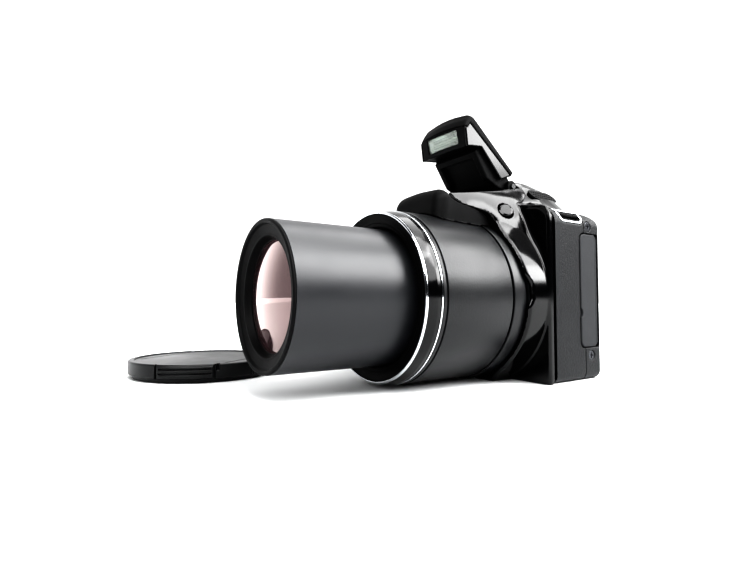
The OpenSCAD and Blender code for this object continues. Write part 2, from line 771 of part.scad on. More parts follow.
// Keys of the rear
board_y = holder_w / 2 - cells_s;
module key_board() color(board)
  block(keys_x - selector_r - 3, keys_x + selector_r + 3, -board_y - board_t, -board_y,
    wall + low_r, body_h - roll_off - low_r);
key_in = board_y + board_t + press + 0.2;
key_out = rear_s + 0.5 - key_in;
flange_l = rear_s - wall - fit - key_in;
module key(k, crown) {
  translate([k.x, key_in, k.y]) rotate([-90, 0, 0]) {
    cylinder(h = key_out, r = k.z);
    translate([0, 0, key_out]) cylinder(h = crown, r1 = k.z, r2 = k.z - 0.4);
    cylinder(h = flange_l, r = k.z + 0.7);
  }
}
module record_button() color(steel) key(key_places[0], 0.3);
module mode_button() color(gloss) key(key_places[1], 0.3);
module playback_button() color(gloss) key(key_places[2], 0.3);
module menu_button() color(gloss) key(key_places[3], 0.3);
module delete_button() color(gloss) key(key_places[4], 0.3);
module at_dial() {
  translate([keys_x, key_in, dial_z]) rotate([-90, 0, 0]) children();
}
module selector_ring() color(gloss) at_dial() difference() {
  union() {
    cylinder(h = key_out + 0.1, r = selector_r);
    translate([0, 0, key_out + 0.1]) cylinder(h = 0.4, r1 = selector_r, r2 = selector_r - 0.6);
    cylinder(h = flange_l, r = selector_r + 0.9);
  }
  cylinder(h = far, r = ok_r + 2 * fit, center = true);
}
module ok_button() color(steel) at_dial() {
  cylinder(h = key_out, r = ok_r);
  translate([0, 0, key_out]) cylinder(h = 0.3, r1 = ok_r, r2 = ok_r - 0.4);
}

// Power: four cells in a holder behind the battery door
contact_t = 0.5;
cell_z0 = door_z + door_t + contact_t + 0.1;
holder_h = cell_z0 + cell_l + contact_t + 1.1;
module cell_places() {
  for (i = [-0.5, 0.5], k = [-0.5, 0.5])
    translate([cells_x + i * cell_gap, -cells_s + k * cell_gap, 0]) children();
}
module holder_form(gap, z0) {
  w = holder_w + 2 * gap;
  translate([cells_x, -cells_s, z0])
    linear_extrude(holder_h + gap - z0) rounded(w, w, (w - cell_gap) / 2);
}
module battery_holder() color(satin) difference() {
  holder_form(0, wall + fit);
  cell_places() cylinder(h = cell_z0 + cell_l + contact_t, r = cell_r + 2 * fit);
  door_space(run);
}
module battery_cells() color(steel) cell_places() translate([0, 0, cell_z0]) {
  cylinder(h = cell_l - 1.2, r = cell_r);
  cylinder(h = cell_l, r = 2.6);
}
module holder_contacts() color(chrome)
  cell_places() translate([0, 0, cell_z0 + cell_l]) cylinder(h = contact_t, r = 4);

// Battery door, hinged along its outer edge
knuckle_x = door_x0;
knuckle_z = door_z + knuckle_r;
door_pin_r = 0.45;
module door_pin_hole() {
  translate([knuckle_x, 0, knuckle_z]) rotate([90, 0, 0])
    cylinder(h = far, r = door_pin_r + fit, center = true);
}
module knuckle_lug(s0, s1) {
  lo = min(s0, s1);
  difference() {
    union() {
      translate([knuckle_x, -lo, knuckle_z]) rotate([90, 0, 0])
        cylinder(h = abs(s1 - s0), r = knuckle_r);
      block(knuckle_x - knuckle_r - 2, knuckle_x, lo, lo + abs(s1 - s0),
        knuckle_z - knuckle_r, knuckle_z + knuckle_r);
    }
    door_pin_hole();
  }
}
module battery_door() color(satin) difference() {
  union() {
    block(knuckle_x, door_x1, door_s0 + 2 + run, door_s1 - 2 - run, door_z, door_z + door_t);
    block(knuckle_x + knuckle_r + run, door_x1, door_s0, door_s1, door_z, door_z + door_t);
    translate([knuckle_x, -door_s0 - 2 - run, knuckle_z]) rotate([90, 0, 0])
      cylinder(h = door_s1 - door_s0 - 4 - 2 * run, r = knuckle_r);
  }
  door_pin_hole();
  for (i = [0 : 4])
    translate([door_x1 - 3 - i * 1.4, -cells_s, door_z]) cube([0.6, 12, 0.5], center = true);
}
module door_contacts() color(chrome)
  for (k = [-0.5, 0.5])
    translate([cells_x - cell_gap / 2 - 4, -cells_s + k * cell_gap - 4, door_z + door_t])
      cube([cell_gap + 8, 8, contact_t]);
module door_pin() color(steel) translate([knuckle_x, -door_s0 - 0.2, knuckle_z]) rotate([90, 0, 0])
  cylinder(h = door_s1 - door_s0 - 0.4, r = door_pin_r);

// Tripod bush, clamped through the base of the side band
module tripod_bush() color(steel) difference() {
  union() {
    cylinder(h = wall + 0.1, r = bush_r);
    translate([0, 0, wall]) cylinder(h = 1.2, r = bush_r + 1.4);
    translate([0, 0, wall]) cylinder(h = socket_l + 0.8 - wall, r = bush_r);
  }
  translate([0, 0, -1]) cylinder(h = socket_l + 1, r = socket_r);
}

// Strap lugs: a plated cup in the corner, with a bar across it
module strap_lug() {
  lining = 0.6;
  bar_r = 0.9;
  bar = 2.1;
  difference() {
    intersection() {
      block(side_x - pocket_d, side_x, -pocket_y, pocket_y, body_h - pocket_d, body_h);
      slab(-far, far) outline(0.1);
    }
    block(side_x - pocket_d + lining, side_x + 1, -pocket_y + lining, pocket_y - lining,
      body_h - pocket_d + lining, body_h + 1);
  }
  translate([side_x - bar, pocket_y - lining / 2, body_h - bar]) rotate([90, 0, 0])
    cylinder(h = 2 * pocket_y - lining, r = bar_r);
}
module strap_lug_side() color(chrome) strap_lug();
module strap_lug_grip() color(chrome)
  translate([mid_x, 0, 0]) mirror([1, 0, 0]) translate([-mid_x, 0, 0]) strap_lug();

// Speaker behind an oval of small holes
module speaker_grille() color(steel) at_speaker() difference() {
  translate([0, 0, -1.2]) linear_extrude(0.6) rounded(6.2, 14.2, 3);
  for (i = [-1 : 1], k = [-4 : 4])
    translate([i * 1.5, k * 1.3, -2]) cylinder(h = 3, r = 0.35);
}
module focus_lamp() color("#b9612f") translate([lamp_x, -front_s + 0.6, lamp_z]) rotate([-90, 0, 0]) {
  cylinder(h = 3, r = lamp_r);
  translate([0, 0, wall - 0.5]) cylinder(h = 1, r = lamp_r + 1);
}

// Connectors behind the flap
module socket_block() color(gloss) difference() {
  block(side_x - 7, side_x - flap_t - 2 * fit, -flap_y - bay_y + 0.1, -flap_y + bay_y - 0.1,
    flap_z - bay_h + 0.1, flap_z + bay_h - 0.1);
  translate([side_x - 3.5, flap_y, flap_z + 8]) cube([8, 3, 8], center = true);
  translate([side_x - 3.5, flap_y, flap_z - 9]) rotate([0, 90, 0])
    cylinder(h = 8, r = 2.2, center = true);
}
// Cover over the connectors, turning on a bead along its rear edge
bead_r = 0.6;
bead_x = side_x - 0.85;
bead_y = flap_y + flap_w / 2 - bead_r;
axle_r = 0.4;
axle_l = flap_h / 2 + 0.8;
module flap_axle(gap) {
  translate([bead_x, bead_y, flap_z]) cylinder(h = 2 * (axle_l + gap), r = axle_r + gap, center = true);
}
module connector_cover() color(rubber) {
  lift = 0.2;
  difference() {
    flap_space(0, flap_t);
    block(side_x + lift, far, -far, far, -far, far);
    block(bead_x, far, -far, -bead_y + 1, -far, far);
    block(-far, far, -far, -bead_y, -far, far);
  }
  translate([bead_x, bead_y, flap_z]) cylinder(h = flap_h - 6, r = bead_r, center = true);
  flap_axle(0);
}
module case_screws() color(steel) screws(0);

// Pop-up flash, drawn in the frame of its hinge: ahead along the lid, up from the hinge
module at_flash() {
  translate([0, -hinge_s, hinge_z]) rotate([-flash_raise, 0, 0]) children();
}
module flash_slab(x, points) {
  at_flash() side_slab(-x, x) polygon([for (p = points) [-p.x, p.y]]);
}
module flash_bar(r, x) {
  at_flash() rotate([0, 90, 0]) cylinder(h = 2 * x, r = r, center = true);
}
module flash_hinge_pin() color(steel) flash_bar(hinge_r, lug_x1);
arm_x = lug_x0 - run;
lid_low = lid_w - lid_t;
neck_u = lid_u - 11.2;
module flash_arm() color(satin) difference() {
  union() {
    flash_bar(lug_r - 0.1, arm_x);
    flash_slab(arm_x, [
      [0, lug_r - 0.1], [3, lid_low - fit], [neck_u, lid_low - fit], [neck_u, -0.9],
      [10.5, -4.1], [4, -3.6], [0, -lug_r + 0.1]
    ]);
  }
  flash_bar(hinge_r + 2 * fit, far);
}
// Front face of the head from its chin to the lid
chin = [lid_u - 6.5, -4.6];
brow_p = [lid_u - 0.6, 0.5];
face_l = norm(brow_p - chin);
window_v = face_l - 0.9 - window_h / 2;
module flash_housing() color(gloss) difference() {
  flash_slab(flash_x, [
    [2.8, lid_low], [5.8, -1.7], [neck_u - 0.7, 0.4], chin, brow_p, [lid_u - 1.7, lid_low]
  ]);
  flash_slab(arm_x + fit, [[0, -9], [neck_u + fit, -9], [neck_u + fit, 9], [0, 9]]);
  flash_slab(arm_x - 1, [
    [neck_u + 1.2, lid_low - 0.8], [neck_u + 1.2, 1], [chin.x - 0.4, chin.y + 2],
    [chin.x + 1.6, chin.y + 2], [brow_p.x - 1.8, brow_p.y], [lid_u - 3, lid_low - 0.8]
  ]);
  window_front(fit);
  flash_slab(flash_x + 1, [[lid_u - 1.7 - fit, brow_p.y + 0.1], [lid_u + 2, brow_p.y + 0.1],
    [lid_u + 2, 9], [lid_u - 1.7 - fit, 9]]);
}
module window_front(gap) {
  mid = chin + (brow_p - chin) * (window_v / face_l);
  side = (brow_p - chin) / face_l;
  out = [side.y, -side.x];
  half = window_h / 2 + gap;
  flash_slab(window_x + gap, [
    mid - half * side - 3 * out, mid + half * side - 3 * out,
    mid + half * side + out, mid - half * side + out
  ]);
}
module flash_lid() color(satin) flash_slab(flash_x + 0.2, [
  [2.6, lid_low], [2.6, lid_w - 0.4], [3, lid_w], [lid_u - 0.6, lid_w], [lid_u + 0.2, lid_w - 0.6],
  [lid_u - 0.5, brow_p.y + 0.15], [lid_u - 1.65, brow_p.y + 0.15], [lid_u - 1.65, lid_low]
]);
module flash_window() color(pale) intersection() {
  window_front(0);
  flash_slab(flash_x, [chin, brow_p, brow_p - [1, -0.9], chin - [1, -0.9]]);
}
module flash_reflector() color(chrome) {
  side = (brow_p - chin) / face_l;
  in = [-side.y, side.x];
  mid = chin + (brow_p - chin) * (window_v / face_l) + 1.4 * in;
  half = window_h / 2;
  difference() {
    flash_slab(window_x, [
      mid - half * side, mid + half * side, mid + half * side + 1.5 * in, mid - half * side + 1.5 * in
    ]);
    flash_slab(window_x - 0.6, [
      mid - 0.8 * half * side - 0.1 * in, mid + 0.8 * half * side - 0.1 * in,
      mid + 0.4 * half * side + in, mid - 0.4 * half * side + in
    ]);
  }
}

// Push buttons of the top
module flash_button() color(gloss) at_release() {
  translate([0, 0, -2.8]) cylinder(h = 3.1, r = release_r);
  translate([0, 0, 0.3]) cylinder(h = 0.3, r1 = release_r, r2 = release_r - 0.4);
}
stem_r = 1.5;
module shutter_button() color(chrome) at_shutter() {
  translate([0, 0, 1]) cylinder(h = 3.4, r = shutter_r);
  translate([0, 0, 4.4]) cylinder(h = 0.5, r1 = shutter_r, r2 = shutter_r - 0.9);
  translate([0, 0, -3]) cylinder(h = 4.1, r = stem_r);
}
module zoom_lever() color(gloss) at_shutter() difference() {
  union() {
    translate([0, 0, fit]) cylinder(h = 3.2, r = lever_r);
    translate([-2, -lever_r - 2.2, 0.6]) cube([4, 4, 3.6]);
  }
  cylinder(h = far, r = shutter_r + 2 * run, center = true);
}
module power_button() color(gloss) power_at() {
  translate([0, 0, -5.2]) cylinder(h = 5.6, r = power_r);
  translate([0, 0, 0.4]) cylinder(h = 0.3, r1 = power_r, r2 = power_r - 0.4);
  translate([0, 0, -plate_t - wall - 1 - fit]) cylinder(h = 1, r = power_r + 0.8);
}

// Lens cap, lying face up on the floor ahead of the grip
cap_face = 1.8;
skirt_in = tube_r + 0.5;
skirt_out = skirt_in + 1.2;
latch_w = 12;
latch_turn = 35;
module at_cap() {
  translate([cap_x, -cap_s, 0]) rotate([0, 0, latch_turn]) children();
}
latch_h = 2.8;
latch_z = cap_h - cap_face - latch_h - 0.4;
module cap_window() {
  gap = 2 * fit;
  for (m = [0, 1]) mirror([m, 0, 0])
    translate([skirt_out + fit, -latch_w / 2 - gap, latch_z - gap])
      cube([cap_r, latch_w + 2 * gap, latch_h + 2 * gap]);
}
module lens_cap() color(gloss) at_cap() difference() {
  rotate_extrude() polygon([
    [0, cap_h - cap_face], [skirt_in, cap_h - cap_face], [skirt_in, 0], [skirt_out, 0],
    [skirt_out, cap_h - cap_face], [cap_r - 1.4, cap_h - cap_face], [cap_r - 1.4, 0],
    [cap_r, 0], [cap_r, cap_h - 1.6], [cap_r - 1.1, cap_h], [cap_r - 2.2, cap_h],
    [cap_r - 2.6, cap_h - 0.4], [0, cap_h - 0.4]
  ]);
  cap_window();
}
module cap_latch() {
  intersection() {
    translate([skirt_out + 1.1, -latch_w / 2, latch_z]) cube([cap_r, latch_w, latch_h]);
    cylinder(h = far, r = cap_r + 0.3, $fn = 256);
  }
}
module cap_latch_outer() color(satin) at_cap() cap_latch();
module cap_latch_inner() color(satin) at_cap() mirror([1, 0, 0]) cap_latch();

front_cover();
side_frame();
rear_cover();
top_cover();
hump_brow();
grip_rubber();
lens_barrel();
gloss_band();
chrome_rings();
name_ring();
light_seal();
lens_housing();
guide_barrel();
cam_barrel();
zoom_tube();
front_bezel();
front_lens();
rear_lens_group();
image_sensor();
sensor_plate();
zoom_motor();
main_board();
flash_capacitor();
lcd_glass();
lcd_panel();
key_board();
battery_holder();
battery_cells();
holder_contacts();
battery_door();
door_contacts();
door_pin();
tripod_bush();
strap_lug_side();
strap_lug_grip();
speaker_grille();
focus_lamp();
socket_block();
connector_cover();
case_screws();
flash_hinge_pin();
flash_arm();
flash_housing();
flash_lid();
flash_window();
flash_reflector();
flash_button();
shutter_button();
zoom_lever();
power_button();
record_button();
mode_button();
playback_button();
menu_button();
delete_button();
selector_ring();
ok_button();
lens_cap();
cap_latch_inner();
cap_latch_outer();
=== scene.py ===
"""Bridge camera with its zoom lens run out, its flash raised and its lens cap lying beside it."""

import math
from functools import partial, reduce
from types import SimpleNamespace

import bmesh
import bpy
import numpy as np
from bpy.props import FloatProperty, FloatVectorProperty, PointerProperty
from mathutils import Matrix, Vector


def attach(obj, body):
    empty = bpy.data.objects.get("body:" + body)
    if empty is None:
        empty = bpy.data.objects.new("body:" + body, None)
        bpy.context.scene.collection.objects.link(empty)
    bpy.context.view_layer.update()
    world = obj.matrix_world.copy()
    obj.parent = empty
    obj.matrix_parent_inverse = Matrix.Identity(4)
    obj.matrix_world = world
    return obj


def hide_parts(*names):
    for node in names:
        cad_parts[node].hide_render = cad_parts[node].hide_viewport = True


bl_info = {
    "name": "Bridge camera",
    "version": (1, 0, 0),
    "blender": (4, 5, 0),
    "location": "View3D > Sidebar > Bridge camera",
    "description": "Builds a bridge camera with its zoom lens run out and its flash raised",
    "category": "Add Mesh",
}

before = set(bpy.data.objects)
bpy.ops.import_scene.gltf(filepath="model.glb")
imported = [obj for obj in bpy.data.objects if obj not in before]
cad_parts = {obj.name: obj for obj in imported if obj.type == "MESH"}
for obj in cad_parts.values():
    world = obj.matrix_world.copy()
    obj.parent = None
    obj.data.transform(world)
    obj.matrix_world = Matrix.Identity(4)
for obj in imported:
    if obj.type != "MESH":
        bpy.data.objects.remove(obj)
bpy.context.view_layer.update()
MM = 0.001


# Sizes and colours that a user would change


def linear(code, *alpha):
    """Linear colour of an sRGB hex value, with its alpha where one is given."""
    parts = [int(code[i : i + 2], 16) / 255.0 for i in (1, 3, 5)]
    return tuple(c / 12.92 if c <= 0.04045 else ((c + 0.055) / 1.055) ** 2.4 for c in parts) + alpha


def length(name, description, mm):
    return FloatProperty(name=name, description=description, default=mm * MM, unit="LENGTH", precision=4)


def angle(name, description, degrees):
    return FloatProperty(name=name, description=description, default=math.radians(degrees), subtype="ANGLE")


def colour(name, description, code):
    return FloatVectorProperty(
        name=name, description=description, default=linear(code), size=3, min=0.0, max=1.0, subtype="COLOR"
    )


class BodySizes(bpy.types.PropertyGroup):
    side: length("Connector side", "Distance of the connector side from the lens axis", 31.8)
    width: length("Width", "Width from the grip's end to the connector side", 111.1)
    height: length("Shoulder height", "Height of the covers' shoulders", 61.0)
    front: length("Front face", "Front face ahead of the tripod socket", 13.0)
    band: length("Side band front", "Front edge of the side band ahead of the socket", 10.8)
    seam: length("Rear seam", "Seam of the rear cover behind the socket", 7.0)
    rear: length("Rear face", "Rear face behind the socket", 17.5)
    wall: length("Wall", "Wall of the covers", 2.0)
    plate: length("Top plate", "Thickness of the raised top plate", 1.2)
    rail: length("Flash rail", "Half distance of the rails beside the flash", 13.6)
    well: length("Flash well", "Half width of the well under the flash", 12.8)
    brow: length("Brow front", "Front of the brow ahead of the socket", 46.0)


class LensSizes(bpy.types.PropertyGroup):
    axis: length("Axis height", "Height of the lens axis over the base", 29.4)
    barrel: length("Barrel radius", "Radius of the fixed barrel", 29.1)
    base: length("Base ring radius", "Radius of the barrel's base ring", 29.4)
    bore: length("Bore radius", "Radius of the front cover's bore", 29.7)
    collar: length("Collar radius", "Outer radius of the collar round the barrel", 31.3)
    front: length("Barrel front", "Front of the fixed barrel ahead of the socket", 64.1)
    seam: length("Base seam", "Seam between barrel and base ring ahead of the socket", 28.4)
    tube: length("Tube radius", "Radius of the telescoping tube", 22.5)
    tube_front: length("Tube front", "Front of the run-out tube ahead of the socket", 102.2)
    tube_back: length("Tube back", "Back of the run-out tube ahead of the socket", 50.5)
    glass: length("Glass radius", "Visible radius of the front glass", 16.4)
    bulge: length("Glass bulge", "Bulge of the front glass", 2.6)


class FlashSizes(bpy.types.PropertyGroup):
    hinge_s: length("Hinge ahead", "Flash hinge ahead of the socket", 8.5)
    hinge_z: length("Hinge height", "Flash hinge height", 71.3)
    lift: angle("Raised angle", "Angle of the raised flash", 37.0)
    half: length("Half width", "Half width of the flash head", 12.4)
    reach: length("Lid length", "Length of the lid from the hinge", 32.0)
    top: length("Lid height", "Height of the lid's top over the hinge", 4.8)
    crown: length("Lid crown", "Rise of the lid's middle over its edges", 0.7)
    window: length("Window", "Half width of the flash window", 7.8)


class RearSizes(bpy.types.PropertyGroup):
    keys_x: length("Keys", "Place of the key group to the side of the lens axis", -60.3)
    dial_z: length("Selector", "Height of the selector", 24.0)
    lcd_x: length("Display", "Place of the display to the side of the lens axis", -3.8)
    lcd_z: length("Display height", "Height of the display's middle", 26.9)
    lcd_w: length("Display width", "Width of the display glass", 64.0)
    lcd_h: length("Display glass height", "Height of the display glass", 46.0)


class CapSizes(bpy.types.PropertyGroup):
    x: length("Cap place", "Place of the cap to the side of the lens axis", -63.6)
    s: length("Cap ahead", "Place of the cap ahead of the socket", 100.5)
    radius: length("Cap radius", "Radius of the cap's rim", 26.9)
    height: length("Cap height", "Height of the cap", 6.5)
    turn: angle("Cap turn", "Turn of the cap's latches", 35.0)
    panel: angle("Panel turn", "Turn of the cap's finger panels from its latches", -64.0)


class Colours(bpy.types.PropertyGroup):
    shell: colour("Gloss shell", "Polished black covers", "#050506")
    band: colour("Stippled covers", "Stippled charcoal covers", "#17181a")
    barrel: colour("Barrel", "Satin grained barrel", "#121315")
    tube: colour("Tube", "Satin paint of the telescoping tube", "#1b1c1f")
    flap: colour("Connector cover", "Mid-grey rubber cover", "#2b2c2e")
    grip: colour("Grip skin", "Grained rubber of the grip", "#1a1b1c")
    cap: colour("Lens cap", "Satin black cap", "#0e0f10")
    lamp: colour("Focus lamp", "Amber lamp window", "#c2571e")


class StageSettings(bpy.types.PropertyGroup):
    floor: FloatProperty(name="Floor", description="Radius of the floor", default=40.0, unit="LENGTH")
    overhead: FloatProperty(name="Overhead", description="Strength of the far overhead light", default=3.0)
    fill: FloatProperty(name="Bounce", description="Strength of the ceiling's bounce", default=2.3)
    side: FloatProperty(name="Side", description="Power of the side softbox", default=0.8, unit="POWER")
    lens: FloatProperty(name="Front", description="Power of the lens softbox", default=3.0, unit="POWER")
    focal: FloatProperty(name="Focal length", description="Focal length on a 36 mm wide sensor", default=23.3)


def in_mm(group):
    """The lengths of a property group in millimetres; angles stay in radians."""
    made = SimpleNamespace()
    for name in group.__annotations__:
        prop = group.bl_rna.properties[name]
        scale = 1000.0 if prop.unit == "LENGTH" else 1.0
        setattr(made, name, getattr(group, name) * scale)
    return made


def sizes():
    """Every group of sizes, in millimetres."""
    groups = ("body", "lens", "flash", "rear", "cap")
    return SimpleNamespace(**{name: in_mm(getattr(bpy.context.scene, "camera_" + name)) for name in groups})


# Forms as signed distances in millimetres, over x, distance ahead s and height z


def join(a, b, r):
    """Union with a fillet of radius r in the corner."""
    return np.maximum(r, np.minimum(a, b)) - np.hypot(np.maximum(r - a, 0), np.maximum(r - b, 0))


def clip(a, b, r):
    """Intersection with an edge rounded to radius r."""
    return np.minimum(-r, np.maximum(a, b)) + np.hypot(np.maximum(r + a, 0), np.maximum(r + b, 0))


def carve(a, b, r):
    """a without b, the edge rounded to radius r."""
    return clip(a, -b, r)


def curve(t, points):
    """Smooth value at t of a line through the points, level beyond its ends."""
    at, value = np.asarray(points, float).T
    slope = np.gradient(value, at)
    i = np.clip(np.searchsorted(at, t) - 1, 0, len(at) - 2)
    step = at[i + 1] - at[i]
    u = np.clip((t - at[i]) / step, 0, 1)
    rise = value[i + 1] - value[i]
    a = slope[i] * step - rise
    b = -slope[i + 1] * step + rise
    return value[i] + u * rise + u * (1 - u) * ((1 - u) * a + u * b)


def rounded_box(u, v, half_u, half_v, r):
    """Distance to a rounded rectangle."""
    qu = np.abs(u) - half_u + r
    qv = np.abs(v) - half_v + r
    return np.hypot(np.maximum(qu, 0), np.maximum(qv, 0)) + np.minimum(np.maximum(qu, qv), 0) - r


def between(v, low, high):
    """Distance to the layer from low to high."""
    return np.maximum(low - v, v - high)


def all_of(*forms):
    """Intersection of forms, its edges sharp."""
    return reduce(np.maximum, forms)


def without(a, b):
    """a without b, the edge sharp."""
    return np.maximum(a, -b)


def polygon(u, v, points):
    """Distance to a closed polygon."""
    best = None
    sign = 1.0
    count = len(points)
    for i in range(count):
        (au, av), (bu, bv) = points[i], points[i - 1]
        eu, ev = bu - au, bv - av
        wu, wv = u - au, v - av
        t = np.clip((wu * eu + wv * ev) / (eu * eu + ev * ev), 0, 1)
        gap = (wu - eu * t) ** 2 + (wv - ev * t) ** 2
        best = gap if best is None else np.minimum(best, gap)
        over = v >= av
        under = v < bv
        left = eu * wv > ev * wu
        cross = (over & under & left) | (~over & ~under & ~left)
        sign = np.where(cross, -sign, sign)
    return sign * np.sqrt(best)


def cover_outline(size, x, z):
    """Distance to the front view of the covers."""
    body = size.body
    r = np.where(z > body.height / 2, 6.0, 3.0)
    middle = body.side - body.width / 2
    return rounded_box(x - middle, z - body.height / 2, body.width / 2, body.height / 2, r)


CORNERS = np.array([[i, j, k] for i in (0, 1) for j in (0, 1) for k in (0, 1)])
EDGES = [(a, b) for a in range(8) for b in range(a + 1, 8) if np.abs(CORNERS[a] - CORNERS[b]).sum() == 1]
SETTLE_ROUNDS, SETTLE_REACH, SETTLE_LIMIT = 5, 0.04, 0.7
LEAST_SLOPE = 0.05
NORMAL_REACH = 0.12
FILLET_STEPS, FILLET_SHARE = 4, 0.49
CORNER_STEPS = 8
SHARP = math.radians(34.0)
TINY = 1e-6


def slope_of(distance, points, reach):
    """Gradient of a distance at points."""
    made = np.empty_like(points)
    for k in range(3):
        off = np.zeros(3)
        off[k] = reach
        ahead = distance(*(points + off).T)
        behind = distance(*(points - off).T)
        made[:, k] = (ahead - behind) / (2 * reach)
    return made


def moulded(name, distance, low, high, step):
    """Object with the surface on which a distance is zero, its points settled on the true form."""
    axes = [np.arange(a, b + step, step) for a, b in zip(low, high)]
    field = distance(axes[0][:, None, None], axes[1][None, :, None], axes[2][None, None, :])
    field = np.broadcast_to(field, [len(a) for a in axes])
    inside = field < 0
    shape = [n - 1 for n in inside.shape]
    count = np.zeros(shape, np.int8)
    for i, j, k in CORNERS:
        count += inside[i : i + shape[0], j : j + shape[1], k : k + shape[2]]
    mixed = (count > 0) & (count < 8)
    cells = np.argwhere(mixed)
    place = np.zeros((len(cells), 3))
    hits = np.zeros(len(cells))
    for a, b in EDGES:
        va = field[tuple((cells + CORNERS[a]).T)]
        vb = field[tuple((cells + CORNERS[b]).T)]
        cross = (va < 0) != (vb < 0)
        t = np.where(cross, va / np.where(cross, va - vb, 1.0), 0.0)[:, None]
        place += np.where(cross[:, None], CORNERS[a] + t * (CORNERS[b] - CORNERS[a]), 0.0)
        hits += cross
    start = np.array([a[0] for a in axes])
    points = start + step * (cells + place / hits[:, None])
    first = points.copy()
    for _ in range(SETTLE_ROUNDS):
        rise = slope_of(distance, points, SETTLE_REACH)
        value = distance(*points.T)
        points -= (value / np.maximum((rise**2).sum(1), LEAST_SLOPE))[:, None] * rise
        points = first + np.clip(points - first, -SETTLE_LIMIT * step, SETTLE_LIMIT * step)
    number = np.full(shape, -1)
    number[mixed] = np.arange(len(cells))
    quads = []
    for axis in range(3):
        behind = [slice(None)] * 3
        ahead = [slice(None)] * 3
        behind[axis], ahead[axis] = slice(None, -1), slice(1, None)
        edge = np.argwhere(inside[tuple(behind)] != inside[tuple(ahead)])
        u, v = [k for k in range(3) if k != axis]
        kept = (edge[:, u] > 0) & (edge[:, v] > 0) & (edge[:, u] < shape[u]) & (edge[:, v] < shape[v])
        edge = edge[kept]
        ring = []
        for du, dv in ((0, 0), (1, 0), (1, 1), (0, 1)):
            cell = edge.copy()
            cell[:, u] -= du
            cell[:, v] -= dv
            ring.append(number[tuple(cell.T)])
        ring = np.stack(ring, 1)
        outward = inside[tuple(edge.T)]
        turned = outward if axis != 1 else ~outward
        ring[turned] = ring[turned][:, ::-1]
        quads.append(ring)
    normals = slope_of(distance, points, NORMAL_REACH)
    normals /= np.maximum(np.linalg.norm(normals, axis=1), TINY)[:, None]
    flip = np.array([1.0, -1.0, 1.0])
    return meshed(name, points * flip * MM, np.concatenate(quads), normals * flip)


def meshed(name, points, faces, normals=None):
    """Object with a smooth-shaded mesh."""
    mesh = bpy.data.meshes.new(name)
    mesh.from_pydata([tuple(p) for p in points], [], [tuple(f) for f in faces])
    mesh.validate()
    mesh.shade_smooth()
    if normals is not None and len(normals) == len(mesh.vertices):
        mesh.normals_split_custom_set_from_vertices([tuple(n) for n in normals])
    piece = bpy.data.objects.new(name, mesh)
    bpy.context.scene.collection.objects.link(piece)
    return piece


def rounded_corners(corners):
    """Closed line through (a, b, radius) corners, each rounded to its radius."""
    made = []
    count = len(corners)
    for i, (a, b, r) in enumerate(corners):
        here = Vector((a, b))
        back = Vector(corners[i - 1][:2]) - here
        on = Vector(corners[(i + 1) % count][:2]) - here
        if r <= 0 or min(back.length, on.length) < TINY:
            made.append((a, b))
            continue
        turn = back.angle(on, math.pi)
        cut = min(r / math.tan(turn / 2), FILLET_SHARE * min(back.length, on.length))
        first, last = here + back.normalized() * cut, here + on.normalized() * cut
        for k in range(FILLET_STEPS + 1):
            t = k / FILLET_STEPS
            made.append(tuple((1 - t) ** 2 * first + 2 * t * (1 - t) * here + t**2 * last))
    return made


def lathe(name, corners, place, segments):
    """Object turned about its axis from a closed profile of (radius, along, fillet) corners in mm."""
    line = rounded_corners(corners)
    count = len(line)
    points, faces = [], []
    for i in range(segments):
        a = 2 * math.pi * i / segments
        for r, h in line:
            points.append(place @ Vector((r * math.cos(a) * MM, r * math.sin(a) * MM, h * MM)))
    for i in range(segments):
        for k in range(count):
            m, n = (i + 1) % segments, (k + 1) % count
            if line[k][0] < TINY and line[n][0] < TINY:
                continue
            ring = [i * count + k, m * count + k, m * count + n, i * count + n]
            if line[k][0] < TINY:
                ring = [ring[0], ring[2], ring[3]]
            elif line[n][0] < TINY:
                ring = ring[:3]
            faces.append(ring)
    piece = meshed(name, points, faces)
    weld(piece)
    piece.data.set_sharp_from_angle(angle=SHARP)
    return piece


def weld(piece):
    """Joins doubled points and turns the faces outwards."""
    tool = bmesh.new()
    tool.from_mesh(piece.data)
    bmesh.ops.remove_doubles(tool, verts=tool.verts, dist=TINY)
    bmesh.ops.recalc_face_normals(tool, faces=tool.faces)
    tool.to_mesh(piece.data)
    tool.free()
    piece.data.shade_smooth()


def tablet(name, width, height, corner, levels, place):
    """Rounded plate built up of (inset, level) rings in mm, closed at both ends."""
    points, faces = [], []
    count = 4 * (CORNER_STEPS + 1)
    for inset, level in levels:
        r = max(corner - inset, 0.05)
        for quarter, (i, k) in enumerate(((1, 1), (-1, 1), (-1, -1), (1, -1))):
            u, v = i * (width / 2 - inset - r), k * (height / 2 - inset - r)
            for n in range(CORNER_STEPS + 1):
                a = math.pi / 2 * (quarter + n / CORNER_STEPS)
                spot = Vector((u + r * math.cos(a), v + r * math.sin(a), level)) * MM
                points.append(place @ spot)
    for row in range(len(levels) - 1):
        for k in range(count):
            n = (k + 1) % count
            faces.append([row * count + k, row * count + n, (row + 1) * count + n, (row + 1) * count + k])
    faces.append(list(range(count))[::-1])
    faces.append([(len(levels) - 1) * count + k for k in range(count)])
    piece = meshed(name, points, faces)
    weld(piece)
    piece.data.set_sharp_from_angle(angle=SHARP)
    return piece


def lens_place(size):
    """Frame on the lens axis, its z axis ahead."""
    return Matrix.Translation((0, 0, size.lens.axis * MM)) @ Matrix.Rotation(math.pi / 2, 4, "X")


def fitted(piece, body, slot, finish, *nodes):
    """Gives a piece its finish, the body that it rides on and the solids that it stands for."""
    piece.data.materials.clear()
    piece.data.materials.append(finish)
    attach(piece, body)
    if nodes:
        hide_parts(*nodes)


